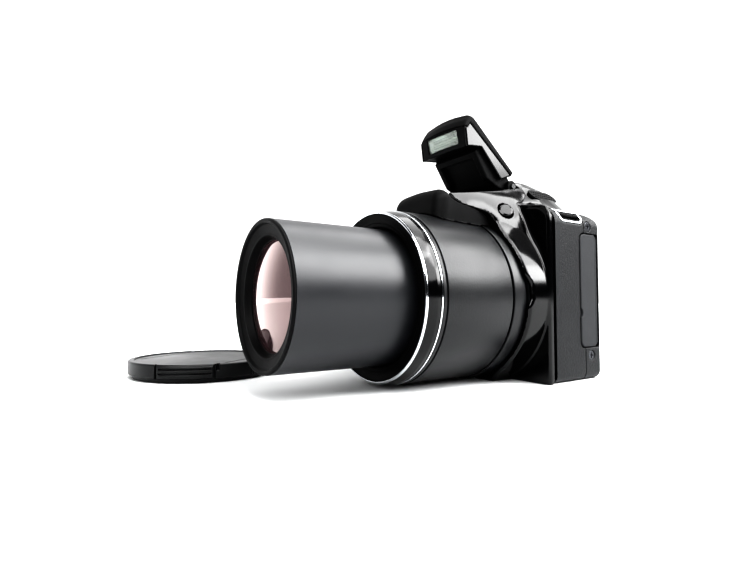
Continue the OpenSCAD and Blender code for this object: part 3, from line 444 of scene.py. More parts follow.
def shaped(name, form, low, high, step, *fit):
    """Piece moulded from a form, with the body, finish and solids that it is fitted to, and a slot that is not
    used.
    """
    fitted(moulded(name, form, low, high, step), *fit)


def turned(name, corners, place, segments, *fit):
    """Piece turned from a profile, with the body, finish and solids that it is fitted to, and a slot that is not
    used.
    """
    fitted(lathe(name, corners, place, segments), *fit)


def dress(node, finish):
    """Gives a solid that is shown as it is its finish."""
    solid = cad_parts[node]
    solid.data.materials.clear()
    solid.data.materials.append(finish)


# Finishes


MIX_A, MIX_B, MIX_OUT = 6, 7, 2
GLOSS_DRIFT = 14.0


def add(tree, kind, inputs=None, **settings):
    """One node with its settings and its inputs, each a value or a (node, output) link."""
    made = tree.nodes.new(kind)
    for name, value in settings.items():
        setattr(made, name, value)
    for name, value in (inputs or {}).items():
        if isinstance(value, tuple) and isinstance(value[0], bpy.types.Node):
            tree.links.new(value[0].outputs[value[1]], made.inputs[name])
        else:
            made.inputs[name].default_value = value
    return made


def per(mm):
    """Pattern scale that repeats about every so many millimetres."""
    return 1.0 / (mm * MM)


def chosen(name):
    """A colour of the settings."""
    return tuple(getattr(bpy.context.scene.camera_colours, name))


def finish(name):
    """The material of that name, and its node tree if it is new."""
    made = bpy.data.materials.get(name)
    if made:
        return made, None
    made = bpy.data.materials.new(name)
    made.use_nodes = True
    made.node_tree.nodes.clear()
    return made, made.node_tree


def closed(made, shader):
    """The material with that shader on its surface."""
    add(made.node_tree, "ShaderNodeOutputMaterial", {"Surface": (shader, "BSDF")})
    return made


def plastic(name, tint, rough, grain, depth, mottle, spread=0.05, coat=0.0, shine=0.5):
    """Moulded ABS: a tinted body, a grain of a real size in its bump, and slightly uneven gloss."""
    made, tree = finish(name)
    if tree is None:
        return made
    place = (add(tree, "ShaderNodeTexCoord"), "Object")
    grit = add(tree, "ShaderNodeTexNoise", {
        "Vector": place, "Scale": per(grain), "Detail": 2.0, "Roughness": 0.5,
    })
    drift = add(tree, "ShaderNodeTexNoise", {
        "Vector": place, "Scale": per(GLOSS_DRIFT), "Detail": 3.0, "Roughness": 0.6,
    })
    gloss = add(tree, "ShaderNodeMapRange", {
        "Value": (drift, "Fac"), "From Min": 0.3, "From Max": 0.7,
        "To Min": rough - spread, "To Max": rough + spread,
    })
    dark = tuple(c * (1 - mottle) for c in tint) + (1.0,)
    light = tuple(min(c * (1 + mottle), 1.0) for c in tint) + (1.0,)
    shade = add(tree, "ShaderNodeMix", {"Factor": (grit, "Fac"), MIX_A: dark, MIX_B: light}, data_type="RGBA")
    bump = add(tree, "ShaderNodeBump", {"Height": (grit, "Fac"), "Strength": 1.0, "Distance": depth * MM})
    return closed(made, add(tree, "ShaderNodeBsdfPrincipled", {
        "Base Color": (shade, MIX_OUT), "Roughness": (gloss, "Result"), "Normal": (bump, "Normal"), "IOR": 1.5,
        "Specular IOR Level": shine, "Coat Weight": coat, "Coat Roughness": 0.04,
    }))


def metal(name, tint, rough, brush=0.0):
    """Bare or plated metal, with fine drawn lines where it is brushed."""
    made, tree = finish(name)
    if tree is None:
        return made
    place = (add(tree, "ShaderNodeTexCoord"), "Object")
    span = add(tree, "ShaderNodeMapping", {"Vector": place, "Scale": (1.0, 1.0, 0.04)})
    lines = add(tree, "ShaderNodeTexNoise", {
        "Vector": (span, "Vector"), "Scale": per(brush or 3.0), "Detail": 4.0,
    })
    gloss = add(tree, "ShaderNodeMapRange", {
        "Value": (lines, "Fac"), "From Min": 0.3, "From Max": 0.7, "To Min": rough * 0.7, "To Max": rough * 1.3,
    })
    depth = 0.01 if brush else 0.002
    bump = add(tree, "ShaderNodeBump", {"Height": (lines, "Fac"), "Strength": 0.5, "Distance": depth * MM})
    return closed(made, add(tree, "ShaderNodeBsdfPrincipled", {
        "Base Color": tint + (1.0,), "Metallic": 1.0,
        "Roughness": (gloss, "Result"), "Normal": (bump, "Normal"),
    }))


def polished_abs():
    """Polished black ABS: deep black with a clear gloss and the faint waviness of a moulding."""
    grain = dict(grain=6.0, depth=0.002, mottle=0.05)
    return plastic("polished black ABS", chosen("shell"), 0.14, **grain, spread=0.02, coat=0.05, shine=0.34)


def stippled_abs():
    """Spark-eroded charcoal ABS: a fine raised stipple that breaks up the highlights."""
    grain = dict(grain=0.62, depth=0.1, mottle=0.6)
    return plastic("stippled charcoal ABS", chosen("band"), 0.5, **grain, spread=0.04, shine=0.3)


def grained_barrel():
    """Satin barrel paint over ABS: a very fine grit, drawn a little coarser so that it shows."""
    grain = dict(grain=0.6, depth=0.028, mottle=0.2)
    return plastic("satin grained barrel paint", chosen("barrel"), 0.34, **grain, spread=0.03, shine=0.42)


def tube_paint():
    """Satin charcoal paint on drawn aluminium: smooth, with a broad soft sheen."""
    grain = dict(grain=0.5, depth=0.004, mottle=0.08)
    return plastic("satin charcoal tube paint", chosen("tube"), 0.36, **grain, spread=0.03)


def matte_black():
    """Light-trap black: matte moulded ABS that swallows stray light."""
    return plastic("matte black ABS", linear("#050506"), 0.6, grain=0.4, depth=0.012, mottle=0.15, shine=0.16)


def flap_rubber():
    """Smooth thermoplastic rubber, mid grey and dull."""
    return plastic("grey flap rubber", chosen("flap"), 0.6, grain=0.6, depth=0.012, mottle=0.1, shine=0.3)


def satin_black():
    """Satin black ABS of keys and levers."""
    return plastic("satin black ABS", linear("#161719"), 0.3, grain=0.4, depth=0.004, mottle=0.1, spread=0.04)


def record_red():
    """Translucent red of the record key."""
    grain = dict(grain=0.5, depth=0.002, mottle=0.08)
    return plastic("red key ABS", linear("#8e1a1a"), 0.25, **grain, spread=0.03, coat=0.3)


def black_steel():
    """Blackened steel of the screws: dark, with a dull sheen."""
    return metal("blackened steel", linear("#4a4b4e"), 0.35, brush=0.2)


def cap_abs():
    """Satin black ABS of the lens cap, with a fine even grain."""
    grain = dict(grain=0.4, depth=0.012, mottle=0.2)
    return plastic("satin black cap ABS", chosen("cap"), 0.4, **grain, spread=0.04, shine=0.35)


def grip_rubber():
    """Moulded rubber with a pebbled leather grain about a millimetre across, its colour painted lighter on the
    pebbles and darker in the valleys between them as painted shade.
    """
    made, tree = finish("pebbled grip rubber")
    if tree is None:
        return made
    place = (add(tree, "ShaderNodeTexCoord"), "Object")
    pattern = {"Vector": place, "Scale": per(1.1), "Smoothness": 0.6}
    cells = add(tree, "ShaderNodeTexVoronoi", pattern, feature="SMOOTH_F1")
    fine = add(tree, "ShaderNodeTexNoise", {"Vector": place, "Scale": per(0.3), "Detail": 2.0})
    relief = {0: (fine, "Fac"), 1: 0.15, 2: (cells, "Distance")}
    height = add(tree, "ShaderNodeMath", relief, operation="MULTIPLY_ADD")
    # Painted shade: the grip colour is lighter on the pebble tops and darker towards the valleys between them.
    pale, dark = (tuple(c * share for c in chosen("grip")) + (1.0,) for share in (1.2, 0.6))
    tones = {"Factor": (cells, "Distance"), MIX_A: pale, MIX_B: dark}
    shade = add(tree, "ShaderNodeMix", tones, data_type="RGBA")
    pebbles = {"Height": (height, "Value"), "Strength": 0.8, "Distance": 0.25 * MM}
    bump = add(tree, "ShaderNodeBump", pebbles, invert=True)
    return closed(made, add(tree, "ShaderNodeBsdfPrincipled", {
        "Base Color": (shade, MIX_OUT), "Roughness": 0.52, "IOR": 1.5, "Normal": (bump, "Normal"),
    }))


def plated():
    """Bright chrome plating on moulded trim."""
    return metal("bright chrome plating", linear("#d6d8db"), 0.1)


def drawn_steel():
    """Plain steel with drawn lines."""
    return metal("drawn steel", linear("#a7a9ac"), 0.28, brush=0.25)


def satin_metal():
    """Satin metal paint of the small keys."""
    return metal("satin nickel", linear("#8f9194"), 0.32, brush=0.15)


def contact_plate():
    """Nickel-plated brass spring contacts."""
    return metal("plated brass", linear("#d8cda6"), 0.22)


def coated_glass():
    """Multi-coated optical glass over a dark throat: a strong pale reflection with a warm pink cast, its base
    colour painted paler towards grazing angles as a painted sheen.
    """
    made, tree = finish("coated optical glass")
    if tree is None:
        return made
    # Painted sheen: the dark pink base colour turns paler where the glass is seen at a grazing angle.
    edge = add(tree, "ShaderNodeLayerWeight", {"Blend": 0.35})
    tones = {"Factor": (edge, "Facing"), MIX_A: linear("#241a24", 1.0), MIX_B: linear("#4b3c40", 1.0)}
    cast = add(tree, "ShaderNodeMix", tones, data_type="RGBA")
    return closed(made, add(tree, "ShaderNodeBsdfPrincipled", {
        "Base Color": (cast, MIX_OUT), "Roughness": 0.03, "IOR": 1.9, "Specular Tint": linear("#ffe9e6", 1.0),
        "Coat Weight": 1.0, "Coat Roughness": 0.02, "Coat Tint": linear("#ffeeea", 1.0),
    }))


def clear_window():
    """Clear ribbed acrylic of the flash, faintly green."""
    made, tree = finish("clear acrylic")
    if tree is None:
        return made
    return closed(made, add(tree, "ShaderNodeBsdfPrincipled", {
        "Base Color": linear("#eef5ee", 1.0), "Roughness": 0.08, "IOR": 1.49, "Transmission Weight": 0.9,
    }))


def display_glass(size):
    """Hard-coated acrylic: a black printed border round the slightly paler dark display behind it."""
    made, tree = finish("display acrylic")
    if tree is None:
        return made
    rear = size.rear
    place = add(tree, "ShaderNodeTexCoord")
    apart = add(tree, "ShaderNodeSeparateXYZ", {"Vector": (place, "Object")})
    parts = []
    for axis, middle, half in (("X", rear.lcd_x, rear.lcd_w / 2 - 2.2), ("Z", rear.lcd_z, rear.lcd_h / 2 - 1.6)):
        off = add(tree, "ShaderNodeMath", {0: (apart, axis), 1: middle * MM}, operation="SUBTRACT")
        far = add(tree, "ShaderNodeMath", {0: (off, "Value")}, operation="ABSOLUTE")
        near = add(tree, "ShaderNodeMath", {0: (far, "Value"), 1: half * MM}, operation="LESS_THAN")
        parts.append((near, "Value"))
    both = add(tree, "ShaderNodeMath", {0: parts[0], 1: parts[1]}, operation="MULTIPLY")
    tones = {"Factor": (both, "Value"), MIX_A: linear("#08080a", 1.0), MIX_B: linear("#1b1d22", 1.0)}
    shade = add(tree, "ShaderNodeMix", tones, data_type="RGBA")
    return closed(made, add(tree, "ShaderNodeBsdfPrincipled", {
        "Base Color": (shade, MIX_OUT), "Roughness": 0.06, "IOR": 1.5,
        "Coat Weight": 0.3, "Coat Roughness": 0.03,
    }))


def circuit_board():
    """Solder-masked circuit board, with darker and lighter traces."""
    made, tree = finish("solder-masked board")
    if tree is None:
        return made
    place = add(tree, "ShaderNodeTexCoord")
    mask = {"Color1": linear("#1c5a3c", 1.0), "Color2": linear("#17492f", 1.0), "Mortar": linear("#2c7a52", 1.0)}
    pattern = {"Vector": (place, "Object"), "Scale": per(9.0), **mask, "Mortar Size": 0.02}
    traces = add(tree, "ShaderNodeTexBrick", pattern, offset=0.5)
    look = {"Base Color": (traces, "Color"), "Roughness": 0.4}
    return closed(made, add(tree, "ShaderNodeBsdfPrincipled", look))


def cell_jacket():
    """Printed film round the cells, left plain."""
    return plastic("plain cell film", linear("#5b6068"), 0.3, grain=3.0, depth=0.002, mottle=0.1, spread=0.04)


def amber_lamp():
    """Translucent amber acrylic."""
    made, tree = finish("amber acrylic")
    if tree is None:
        return made
    place = add(tree, "ShaderNodeTexCoord")
    pattern = {"Vector": (place, "Object"), "Scale": per(5.0), "Distortion": 0.0}
    rings = add(tree, "ShaderNodeTexWave", pattern, wave_type="RINGS", rings_direction="Y")
    bump = add(tree, "ShaderNodeBump", {"Height": (rings, "Fac"), "Strength": 0.3, "Distance": 0.05 * MM})
    return closed(made, add(tree, "ShaderNodeBsdfPrincipled", {
        "Base Color": chosen("lamp") + (1.0,), "Roughness": 0.15, "Normal": (bump, "Normal"),
        "Transmission Weight": 0.3,
    }))


# Covers


HUMP_RAIL = [
    (-15.5, 62.6), (-12.0, 67.0), (-7.0, 71.3), (-2.0, 72.6), (4.0, 72.2), (8.0, 70.6),
    (12.0, 69.7), (19.0, 68.5), (28.0, 67.0), (34.0, 66.0), (41.0, 64.9),
]
HUMP_CROWN = [
    (-15.5, 0.4), (-12.0, 2.0), (-7.0, 3.0), (-2.0, 3.2), (4.0, 3.0), (8.0, 1.0), (12.0, 0.4), (41.0, 0.4),
]
SHOULDER_FOOT = [
    (-15.5, 20.0), (-12.0, 24.0), (-7.0, 27.0), (-2.0, 28.0), (4.0, 28.0), (8.0, 27.6), (13.0, 27.0),
]
FLANK_FOOT = [
    (-15.5, 18.0), (0.0, 21.6), (9.0, 23.2), (13.0, 23.0), (16.0, 21.9), (20.0, 20.6), (23.0, 19.7),
    (26.0, 18.6), (29.0, 17.4), (34.0, 15.8), (42.0, 14.5),
]
SHOULDER = [
    (-0.4, 0.0), (0.0, 0.0), (0.1, 0.13), (0.33, 0.36), (0.63, 0.62), (0.83, 0.81), (1.0, 1.0), (2.4, 2.3),
]
FLANK = [
    (-0.4, 0.0), (0.0, 0.0), (0.1, 0.11), (0.26, 0.25), (0.62, 0.5), (1.0, 0.72), (1.41, 0.92), (1.84, 1.08),
    (2.26, 1.22), (2.68, 1.36), (3.0, 1.45), (3.4, 1.46), (4.2, 1.2), (5.5, 0.2),
]
LIP = [
    (0.0, 22.5), (30.0, 22.5), (37.4, 23.0), (46.0, 23.9), (51.0, 24.2), (54.0, 24.4), (56.5, 24.9),
    (58.2, 26.2), (59.4, 28.4), (60.3, 31.6), (61.2, 36.0), (62.6, 39.6), (64.6, 41.4), (70.0, 43.4),
]
COLLAR_FILLET = [(-50.0, 0.8), (0.0, 1.0), (30.0, 1.6), (60.0, 3.0)]
HUMP_FILLET = [(8.0, 0.8), (13.3, 0.8), (16.0, 1.2), (20.0, 1.8), (24.0, 2.2)]
REAR_ROLL = [(7.0, 61.0), (11.5, 60.3), (14.0, 59.2), (15.6, 58.0), (16.7, 56.3), (17.5, 53.8)]
HUMP_BACK = -15.5
HUMP_FOOT = 60.0


def hump_form(size, x, s, z):
    """Hump with the rails beside the flash, shoulders that slope to the sides and flanks that run on ahead."""
    body = size.body
    rail = curve(s, HUMP_RAIL)
    crown = curve(s, HUMP_CROWN)
    high = np.maximum(rail - HUMP_FOOT, 2.0)
    sides = []
    for line, profile in ((SHOULDER_FOOT, SHOULDER), (FLANK_FOOT, FLANK)):
        steep = (curve(s, line) - body.rail) / high
        lean = curve((rail - z) / high, profile) * steep * high
        sides.append((np.abs(x) - body.rail - lean) / np.sqrt(1 + steep**2))
    roof = (z - body.height + 0.4 - 0.2 * (body.side - np.abs(x))) * 0.98
    share = curve(s, [(-20.0, 0.0), (2.0, 0.0), (7.0, 0.5), (11.0, 1.0), (20.0, 1.0)])
    slope = sides[0] * (1 - share) + roof * share
    shoulder = clip(slope, np.abs(x) - body.side + 0.3, curve(s, [(9.0, 5.0), (13.0, 2.5)]))
    side = join(clip(shoulder, s - body.front, 0.8), sides[1], 0.8)
    top = z - rail - crown * (1 - (x / body.rail) ** 2)
    edge = curve(s, [(0.0, 4.5), (4.0, 3.5), (9.0, 0.7), (20.0, 0.6)])
    return clip(clip(side, top * 0.95, edge), HUMP_BACK - s, 1.5)


def ahead_of_lip(size, x, s, z):
    """Distance ahead of the collar's edge, which leans forward over the barrel and is notched at its sides."""
    turn = np.degrees(np.arctan2(z - size.lens.axis, np.abs(x)))
    notch = 1.7 * np.exp(-(((turn - 4.0) / 8.0) ** 4))
    return (s - curve(z, LIP) + notch) * 0.85 - 4.0 * np.maximum(-x - 35.0, 0.0)


def grip_plan(x, s):
    """Plan of the grip: a nose and a heel under one skin, run into the front face."""
    nose, heel = (-66.8, 20.5, 12.5), (-53.0, 14.5, 11.2)
    along = math.hypot(heel[0] - nose[0], heel[1] - nose[1])
    du, dv = (heel[0] - nose[0]) / along, (heel[1] - nose[1]) / along
    p = (x - nose[0]) * du + (s - nose[1]) * dv
    q = np.abs(-(x - nose[0]) * dv + (s - nose[1]) * du)
    b = (nose[2] - heel[2]) / along
    a = math.sqrt(1 - b * b)
    k = -b * q + a * p
    first = np.hypot(p, q) - nose[2]
    last = np.hypot(p - along, q) - heel[2]
    skin = np.where(k < 0, first, np.where(k > a * along, last, a * q + b * p - nose[2]))
    root = rounded_box(x + 59.0, s - 8.0, 17.3, 6.5, 2.0)
    return join(skin, root, 5.0)


def grip_form(x, s, z):
    """Grip, its top leaning down to the front."""
    top = (z - SHUTTER_AT[2] + (s + SHUTTER_AT[1]) * math.tan(GRIP_LEAN)) * math.cos(GRIP_LEAN)
    return clip(clip(grip_plan(x, s), top, 4.0), -z, 2.0)


def skin_zone(s, z):
    """Part of the grip that the rubber skin covers."""
    return np.maximum(between(z, 6.0, 46.0), 15.0 - s)


def grip_skin(x, s, z):
    """Rubber skin in the recess of the grip."""
    plan = grip_plan(x, s)
    return clip(np.maximum(plan, -(plan + 1.15)), skin_zone(s, z) + 0.08, 0.4)


def door_space(x, s, z):
    """Room of the battery door in the base."""
    return all_of(between(x, -74.3, -44.7), between(s, -12.1, 17.1), z - 2.8)


def flash_well(size, x, s, z):
    """Stepped well under the flash."""
    across = np.abs(x) - size.body.well
    upper = all_of(across, between(s, 4.5, 41.3), 61.2 - z)
    lower = all_of(across, between(s, 14.0, 41.3), 53.0 - z)
    return np.minimum(upper, lower)


def local(point, normal, up, x, s, z):
    """Coordinates along u, v and the normal of a seat on a surface."""
    n = Vector(normal).normalized()
    v = Vector(up)
    v = (v - n * v.dot(n)).normalized()
    u = v.cross(n)
    dx, dy, dz = x - point[0], -s - point[1], z - point[2]
    return [dx * e.x + dy * e.y + dz * e.z for e in (u, v, n)]


SPEAKER_AT, SPEAKER_OUT = (18.7, 2.0, 68.4), (1.0, 0.0, 1.0)
RELEASE_AT, RELEASE_OUT = (18.4, -19.2, 59.9), (0.7497, -0.4505, 0.4848)
GRIP_LEAN = math.radians(15)
SHUTTER_AT, SHUTTER_OUT = (-65.8, -21.0, 57.0), (0.0, -math.sin(GRIP_LEAN), math.cos(GRIP_LEAN))
POWER_AT, POWER_BORE = (-56.3, 2.0, 62.2), 3.75
LAMP_AT = (-37.6, 54.0)
SIDE_SCREWS, BASE_SCREWS = ((-9.7, 55.2), (-10.7, 8.6)), ((24.0, -2.0), (-30.0, -2.0))
SCREW_SEAT = 1.75
FLAP_S, FLAP_Z, FLAP_HALF_S, FLAP_HALF_Z, FLAP_CORNER = -9.9, 32.1, 5.4, 20.3, 2.4
FLAP_HINGE_X, FLAP_HINGE_S, FLAP_DEPTH = 30.95, -14.7, 1.6
LUG_DEPTH, LUG_HALF = 5.2, 6.9


def power_bore(x, s):
    """Bore of the power button through the top."""
    return np.hypot(x - POWER_AT[0], -s - POWER_AT[1]) - POWER_BORE


def shell_outside(size, x, s, z):
    """Outer form of the front shell before its lip, bore and seats are cut."""
    body, lens = size.body, size.lens
    made = clip(cover_outline(size, x, z), s - body.front, curve(x, [(5.0, 3.0), (24.0, 0.9)]))
    radius = np.hypot(x, z - lens.axis)
    turn = np.degrees(np.arctan2(z - lens.axis, np.abs(x)))
    made = join(made, radius - lens.collar + 0.05 * (s - 18.0), curve(turn, COLLAR_FILLET))
    made = join(made, grip_form(x, s, z), 2.5)
    made = join(made, hump_form(size, x, s, z), curve(s, HUMP_FILLET))
    return clip(made, x - body.side, 0.5)


def front_shell(size, x, s, z):
    """Front cover, collar, grip core, hump and top plate as one polished moulding."""
    body, lens = size.body, size.lens
    outline = cover_outline(size, x, z)
    radius = np.hypot(x, z - lens.axis)
    made = outside = shell_outside(size, x, s, z)
    inner = np.maximum(outline + body.wall, s - body.front + body.wall)
    holder = np.maximum(rounded_box(x + 59.3, s - 3.0, 15.8, 15.8, 8.3), between(z, 2.0, 54.4))
    made = without(made, np.minimum(inner, holder))
    made = without(made, np.maximum(s - body.band, z - body.height))
    plate = rounded_box(x + 28.0, s + 1.25, 45.0, 11.2, 2.0)
    plate = clip(plate, z - body.height - body.plate, 0.9)
    made = join(made, np.maximum(plate, body.height - z), 2.2)
    made = carve(made, flash_well(size, x, s, z), 0.35)
    made = clip(made, lens.bore - radius, 0.35)
    ahead = ahead_of_lip(size, x, s, z)
    made = clip(made, np.maximum(ahead, (outside + ahead) * 0.7071 + 0.4), 0.2)
    plan = grip_plan(x, s)
    made = without(made, all_of(skin_zone(s, z), -(plan + 1.25), plan - 0.6))
    made = without(made, door_space(x, s, z))
    made = clip(made, -z, 0.5)
    u, v, n = local(SPEAKER_AT, SPEAKER_OUT, (0, 1, 0), x, s, z)
    made = carve(made, np.maximum(rounded_box(u, v, 3.2, 7.2, 3.1), -1.2 - n), 0.4)
    u, v, n = local(RELEASE_AT, RELEASE_OUT, (0, 0, 1), x, s, z)
    made = carve(made, np.maximum(np.hypot(u, v) - 3.05, -3.2 - n), 0.25)
    u, v, n = local(SHUTTER_AT, SHUTTER_OUT, (0, 1, 0), x, s, z)
    made = carve(made, np.maximum(np.hypot(u, v) - 10.2, -n), 0.4)
    made = carve(made, power_bore(x, s), 0.3)
    lamp = np.maximum(np.hypot(x - LAMP_AT[0], z - LAMP_AT[1]) - 3.1, 10.5 - s)
    return carve(made, lamp, 0.35)


def hinge_lug(size, x, s, z):
    """Lugs in the well that hold the flash's hinge pin."""
    ds, dz = s - size.flash.hinge_s, z - size.flash.hinge_z
    made = np.minimum(np.hypot(ds, dz) - 2.3, np.maximum(np.abs(ds) - 2.3, between(dz, -10.2, 0.0)))
    return clip(made, between(np.abs(x), 11.2, size.body.well - 0.05), 0.3)


def brow_form(size, x, s, z):
    """Matte brow ahead of the flash: round at its front corners, drawn in to its front, seated on the barrel."""
    body, lens = size.body, size.lens
    crown = curve(s, [(29.0, 70.2), (39.0, 68.2), (43.0, 67.0), (46.0, 66.2)])
    top = z - crown + 0.9 * (x / 12.0) ** 2
    wide = curve(z, [(51.0, 15.0), (55.0, 14.9), (60.0, 14.8), (66.0, 14.4)])
    draw = curve(s, [(24.0, -1.0), (30.0, -0.6), (36.0, 0.1), (41.0, 0.9), (46.0, 1.4)])
    side = np.abs(x) - wide + draw
    made = clip(side, s - body.brow + 0.12 * (z - 59.0), 4.2)
    made = clip(made, top * 0.97, 3.2)
    radius = np.hypot(x, z - lens.axis)
    sweep = np.degrees(np.arctan2(z - lens.axis, np.abs(x)))
    edge = curve(s, [(28.4, 24.0), (29.2, 36.0), (30.6, 43.5), (33.0, 48.5), (37.0, 51.0), (46.0, 51.5)])
    skin = all_of(radius - lens.base, (edge - sweep) * 0.45, between(s, 28.3, body.brow - 1.0))
    made = join(made, skin, 0.25)
    made = clip(made, lens.barrel + 0.1 - radius, 0.35)
    made = without(made, np.maximum(radius - lens.base - 0.1, s - lens.seam - 0.1))
    made = without(made, flash_well(size, x, s, z))
    return clip(made, 0.1 - ahead_of_lip(size, x, s, z), 0.3)


def flap_plan(s, z, gap):
    """Side view of the connector cover, larger by a gap."""
    return rounded_box(s - FLAP_S, z - FLAP_Z, FLAP_HALF_S + gap, FLAP_HALF_Z + gap, FLAP_CORNER)


def flap_recess(size, x, s, z, gap):
    """Seat of the connector cover."""
    return np.maximum(flap_plan(s, z, gap), size.body.side - FLAP_DEPTH - x)


def lug_pocket(size, x, s, z, gap):
    """Pockets of the strap lugs in the upper corners."""
    body = size.body
    side = np.minimum(body.side - x, x + body.width - body.side)
    deep = np.maximum(side - LUG_DEPTH - gap, body.height - LUG_DEPTH - gap - z)
    return clip(deep, np.abs(s) - LUG_HALF - gap, 2.4)


def screw_seats(size, x, s, z):
    """Counterbores of the screws in the connector side and the base."""
    side = np.minimum(*(np.hypot(s - a, z - b) for a, b in SIDE_SCREWS)) - SCREW_SEAT
    under = np.minimum(*(np.hypot(x - a, s - b) for a, b in BASE_SCREWS)) - SCREW_SEAT
    return np.minimum(np.maximum(side, size.body.side - 1.0 - x), np.maximum(under, z - 1.0))


def side_band(size, x, s, z):
    """Stippled band between the covers, with the seats of lugs, screws and connectors."""
    body = size.body
    outline = cover_outline(size, x, z)
    made = without(outline, outline + body.wall)
    made = clip(made, between(s, -body.seam + 0.03, body.band - 0.03), 0.35)
    made = carve(made, lug_pocket(size, x, s, z, 0.05), 0.4)
    made = carve(made, flap_recess(size, x, s, z, 0.3), 0.3)
    made = without(made, door_space(x, s, z))
    made = without(made, np.maximum(np.hypot(x, s) - 5.05, z - 3.0))
    made = carve(made, screw_seats(size, x, s, z), 0.25)
    return without(made, power_bore(x, s))


def rear_form(size, x, s, z):
    """Rear cover, its top edge rolled off, with the display window and the holes of the keys."""
    body, rear = size.body, size.rear
    outline = cover_outline(size, x, z)
    made = clip(outline, -body.rear - s, 2.4)
    made = clip(made, (z - curve(-s, REAR_ROLL)) * 0.8, 0.8)
    made = without(made, all_of(outline + body.wall, -body.rear + body.wall - s, z - 52.0))
    made = clip(made, s + body.seam + 0.03, 0.35)
    window = rounded_box(x - rear.lcd_x, z - rear.lcd_z, rear.lcd_w / 2 + 0.1, rear.lcd_h / 2 + 0.1, 2.1)
    made = carve(made, window, 0.4)
    for k, h, r in key_places(size):
        made = carve(made, np.hypot(x - k, z - h) - r - 0.15, 0.4)
    made = carve(made, np.hypot(x - rear.keys_x, z - rear.dial_z) - 10.15, 0.5)
    made = without(made, door_space(x, s, z))
    hinge_room = rounded_box(s + 13.0, z - FLAP_Z, 2.75, FLAP_HALF_Z + 0.3, 0.6)
    hinge_room = np.maximum(hinge_room, body.side - FLAP_DEPTH - x)
    made = carve(made, np.minimum(flap_recess(size, x, s, z, 0.3), hinge_room), 0.3)
    return carve(made, screw_seats(size, x, s, z), 0.25)


def key_places(size):
    """Middle and radius of the record, mode, playback, menu and delete keys."""
    x = size.rear.keys_x
    return [(x, 45.4, 3.4), (x + 8, 38.4, 3.0), (x - 8, 38.4, 3.0), (x + 8, 9.6, 3.0), (x - 8, 9.6, 3.0)]


class CAMERA_OT_covers(bpy.types.Operator):
    """Front shell, brow, grip skin, side band and rear cover"""

    bl_idname = "camera_parts.covers"
    bl_label = "Covers"

    def execute(self, context):
        size = sizes()
        shaped(
            "front_shell", partial(front_shell, size), (-80.0, -17.0, -0.8), (33.0, 44.0, 77.0), 0.5,
            "camera", "gloss_shell", polished_abs(), "front_cover", "top_cover",
        )
        shaped(
            "brow", partial(brow_form, size), (-20.0, 22.5, 48.0), (20.0, 47.0, 72.0), 0.4,
            "camera", "gloss_shell", matte_black(), "hump_brow",
        )
        shaped(
            "hinge_lugs", partial(hinge_lug, size), (-13.2, 5.6, 60.4), (13.2, 11.4, 74.2), 0.25,
            "camera", "gloss_shell", matte_black(),
        )
        shaped(
            "grip_skin", grip_skin, (-80.5, 13.0, 4.0), (-39.0, 35.0, 48.0), 0.5,
            "camera", "grip_rubber", grip_rubber(), "grip_rubber",
        )
        shaped(
            "side_band", partial(side_band, size), (-80.0, -8.0, -0.8), (32.6, 10.0, 62.0), 0.5,
            "camera", "satin_shell", stippled_abs(), "side_frame",
        )
        shaped(
            "rear_cover", partial(rear_form, size), (-80.0, -18.4, -0.8), (32.6, -6.0, 62.0), 0.5,
            "camera", "satin_shell", stippled_abs(), "rear_cover",
        )
        return {"FINISHED"}


# Lens


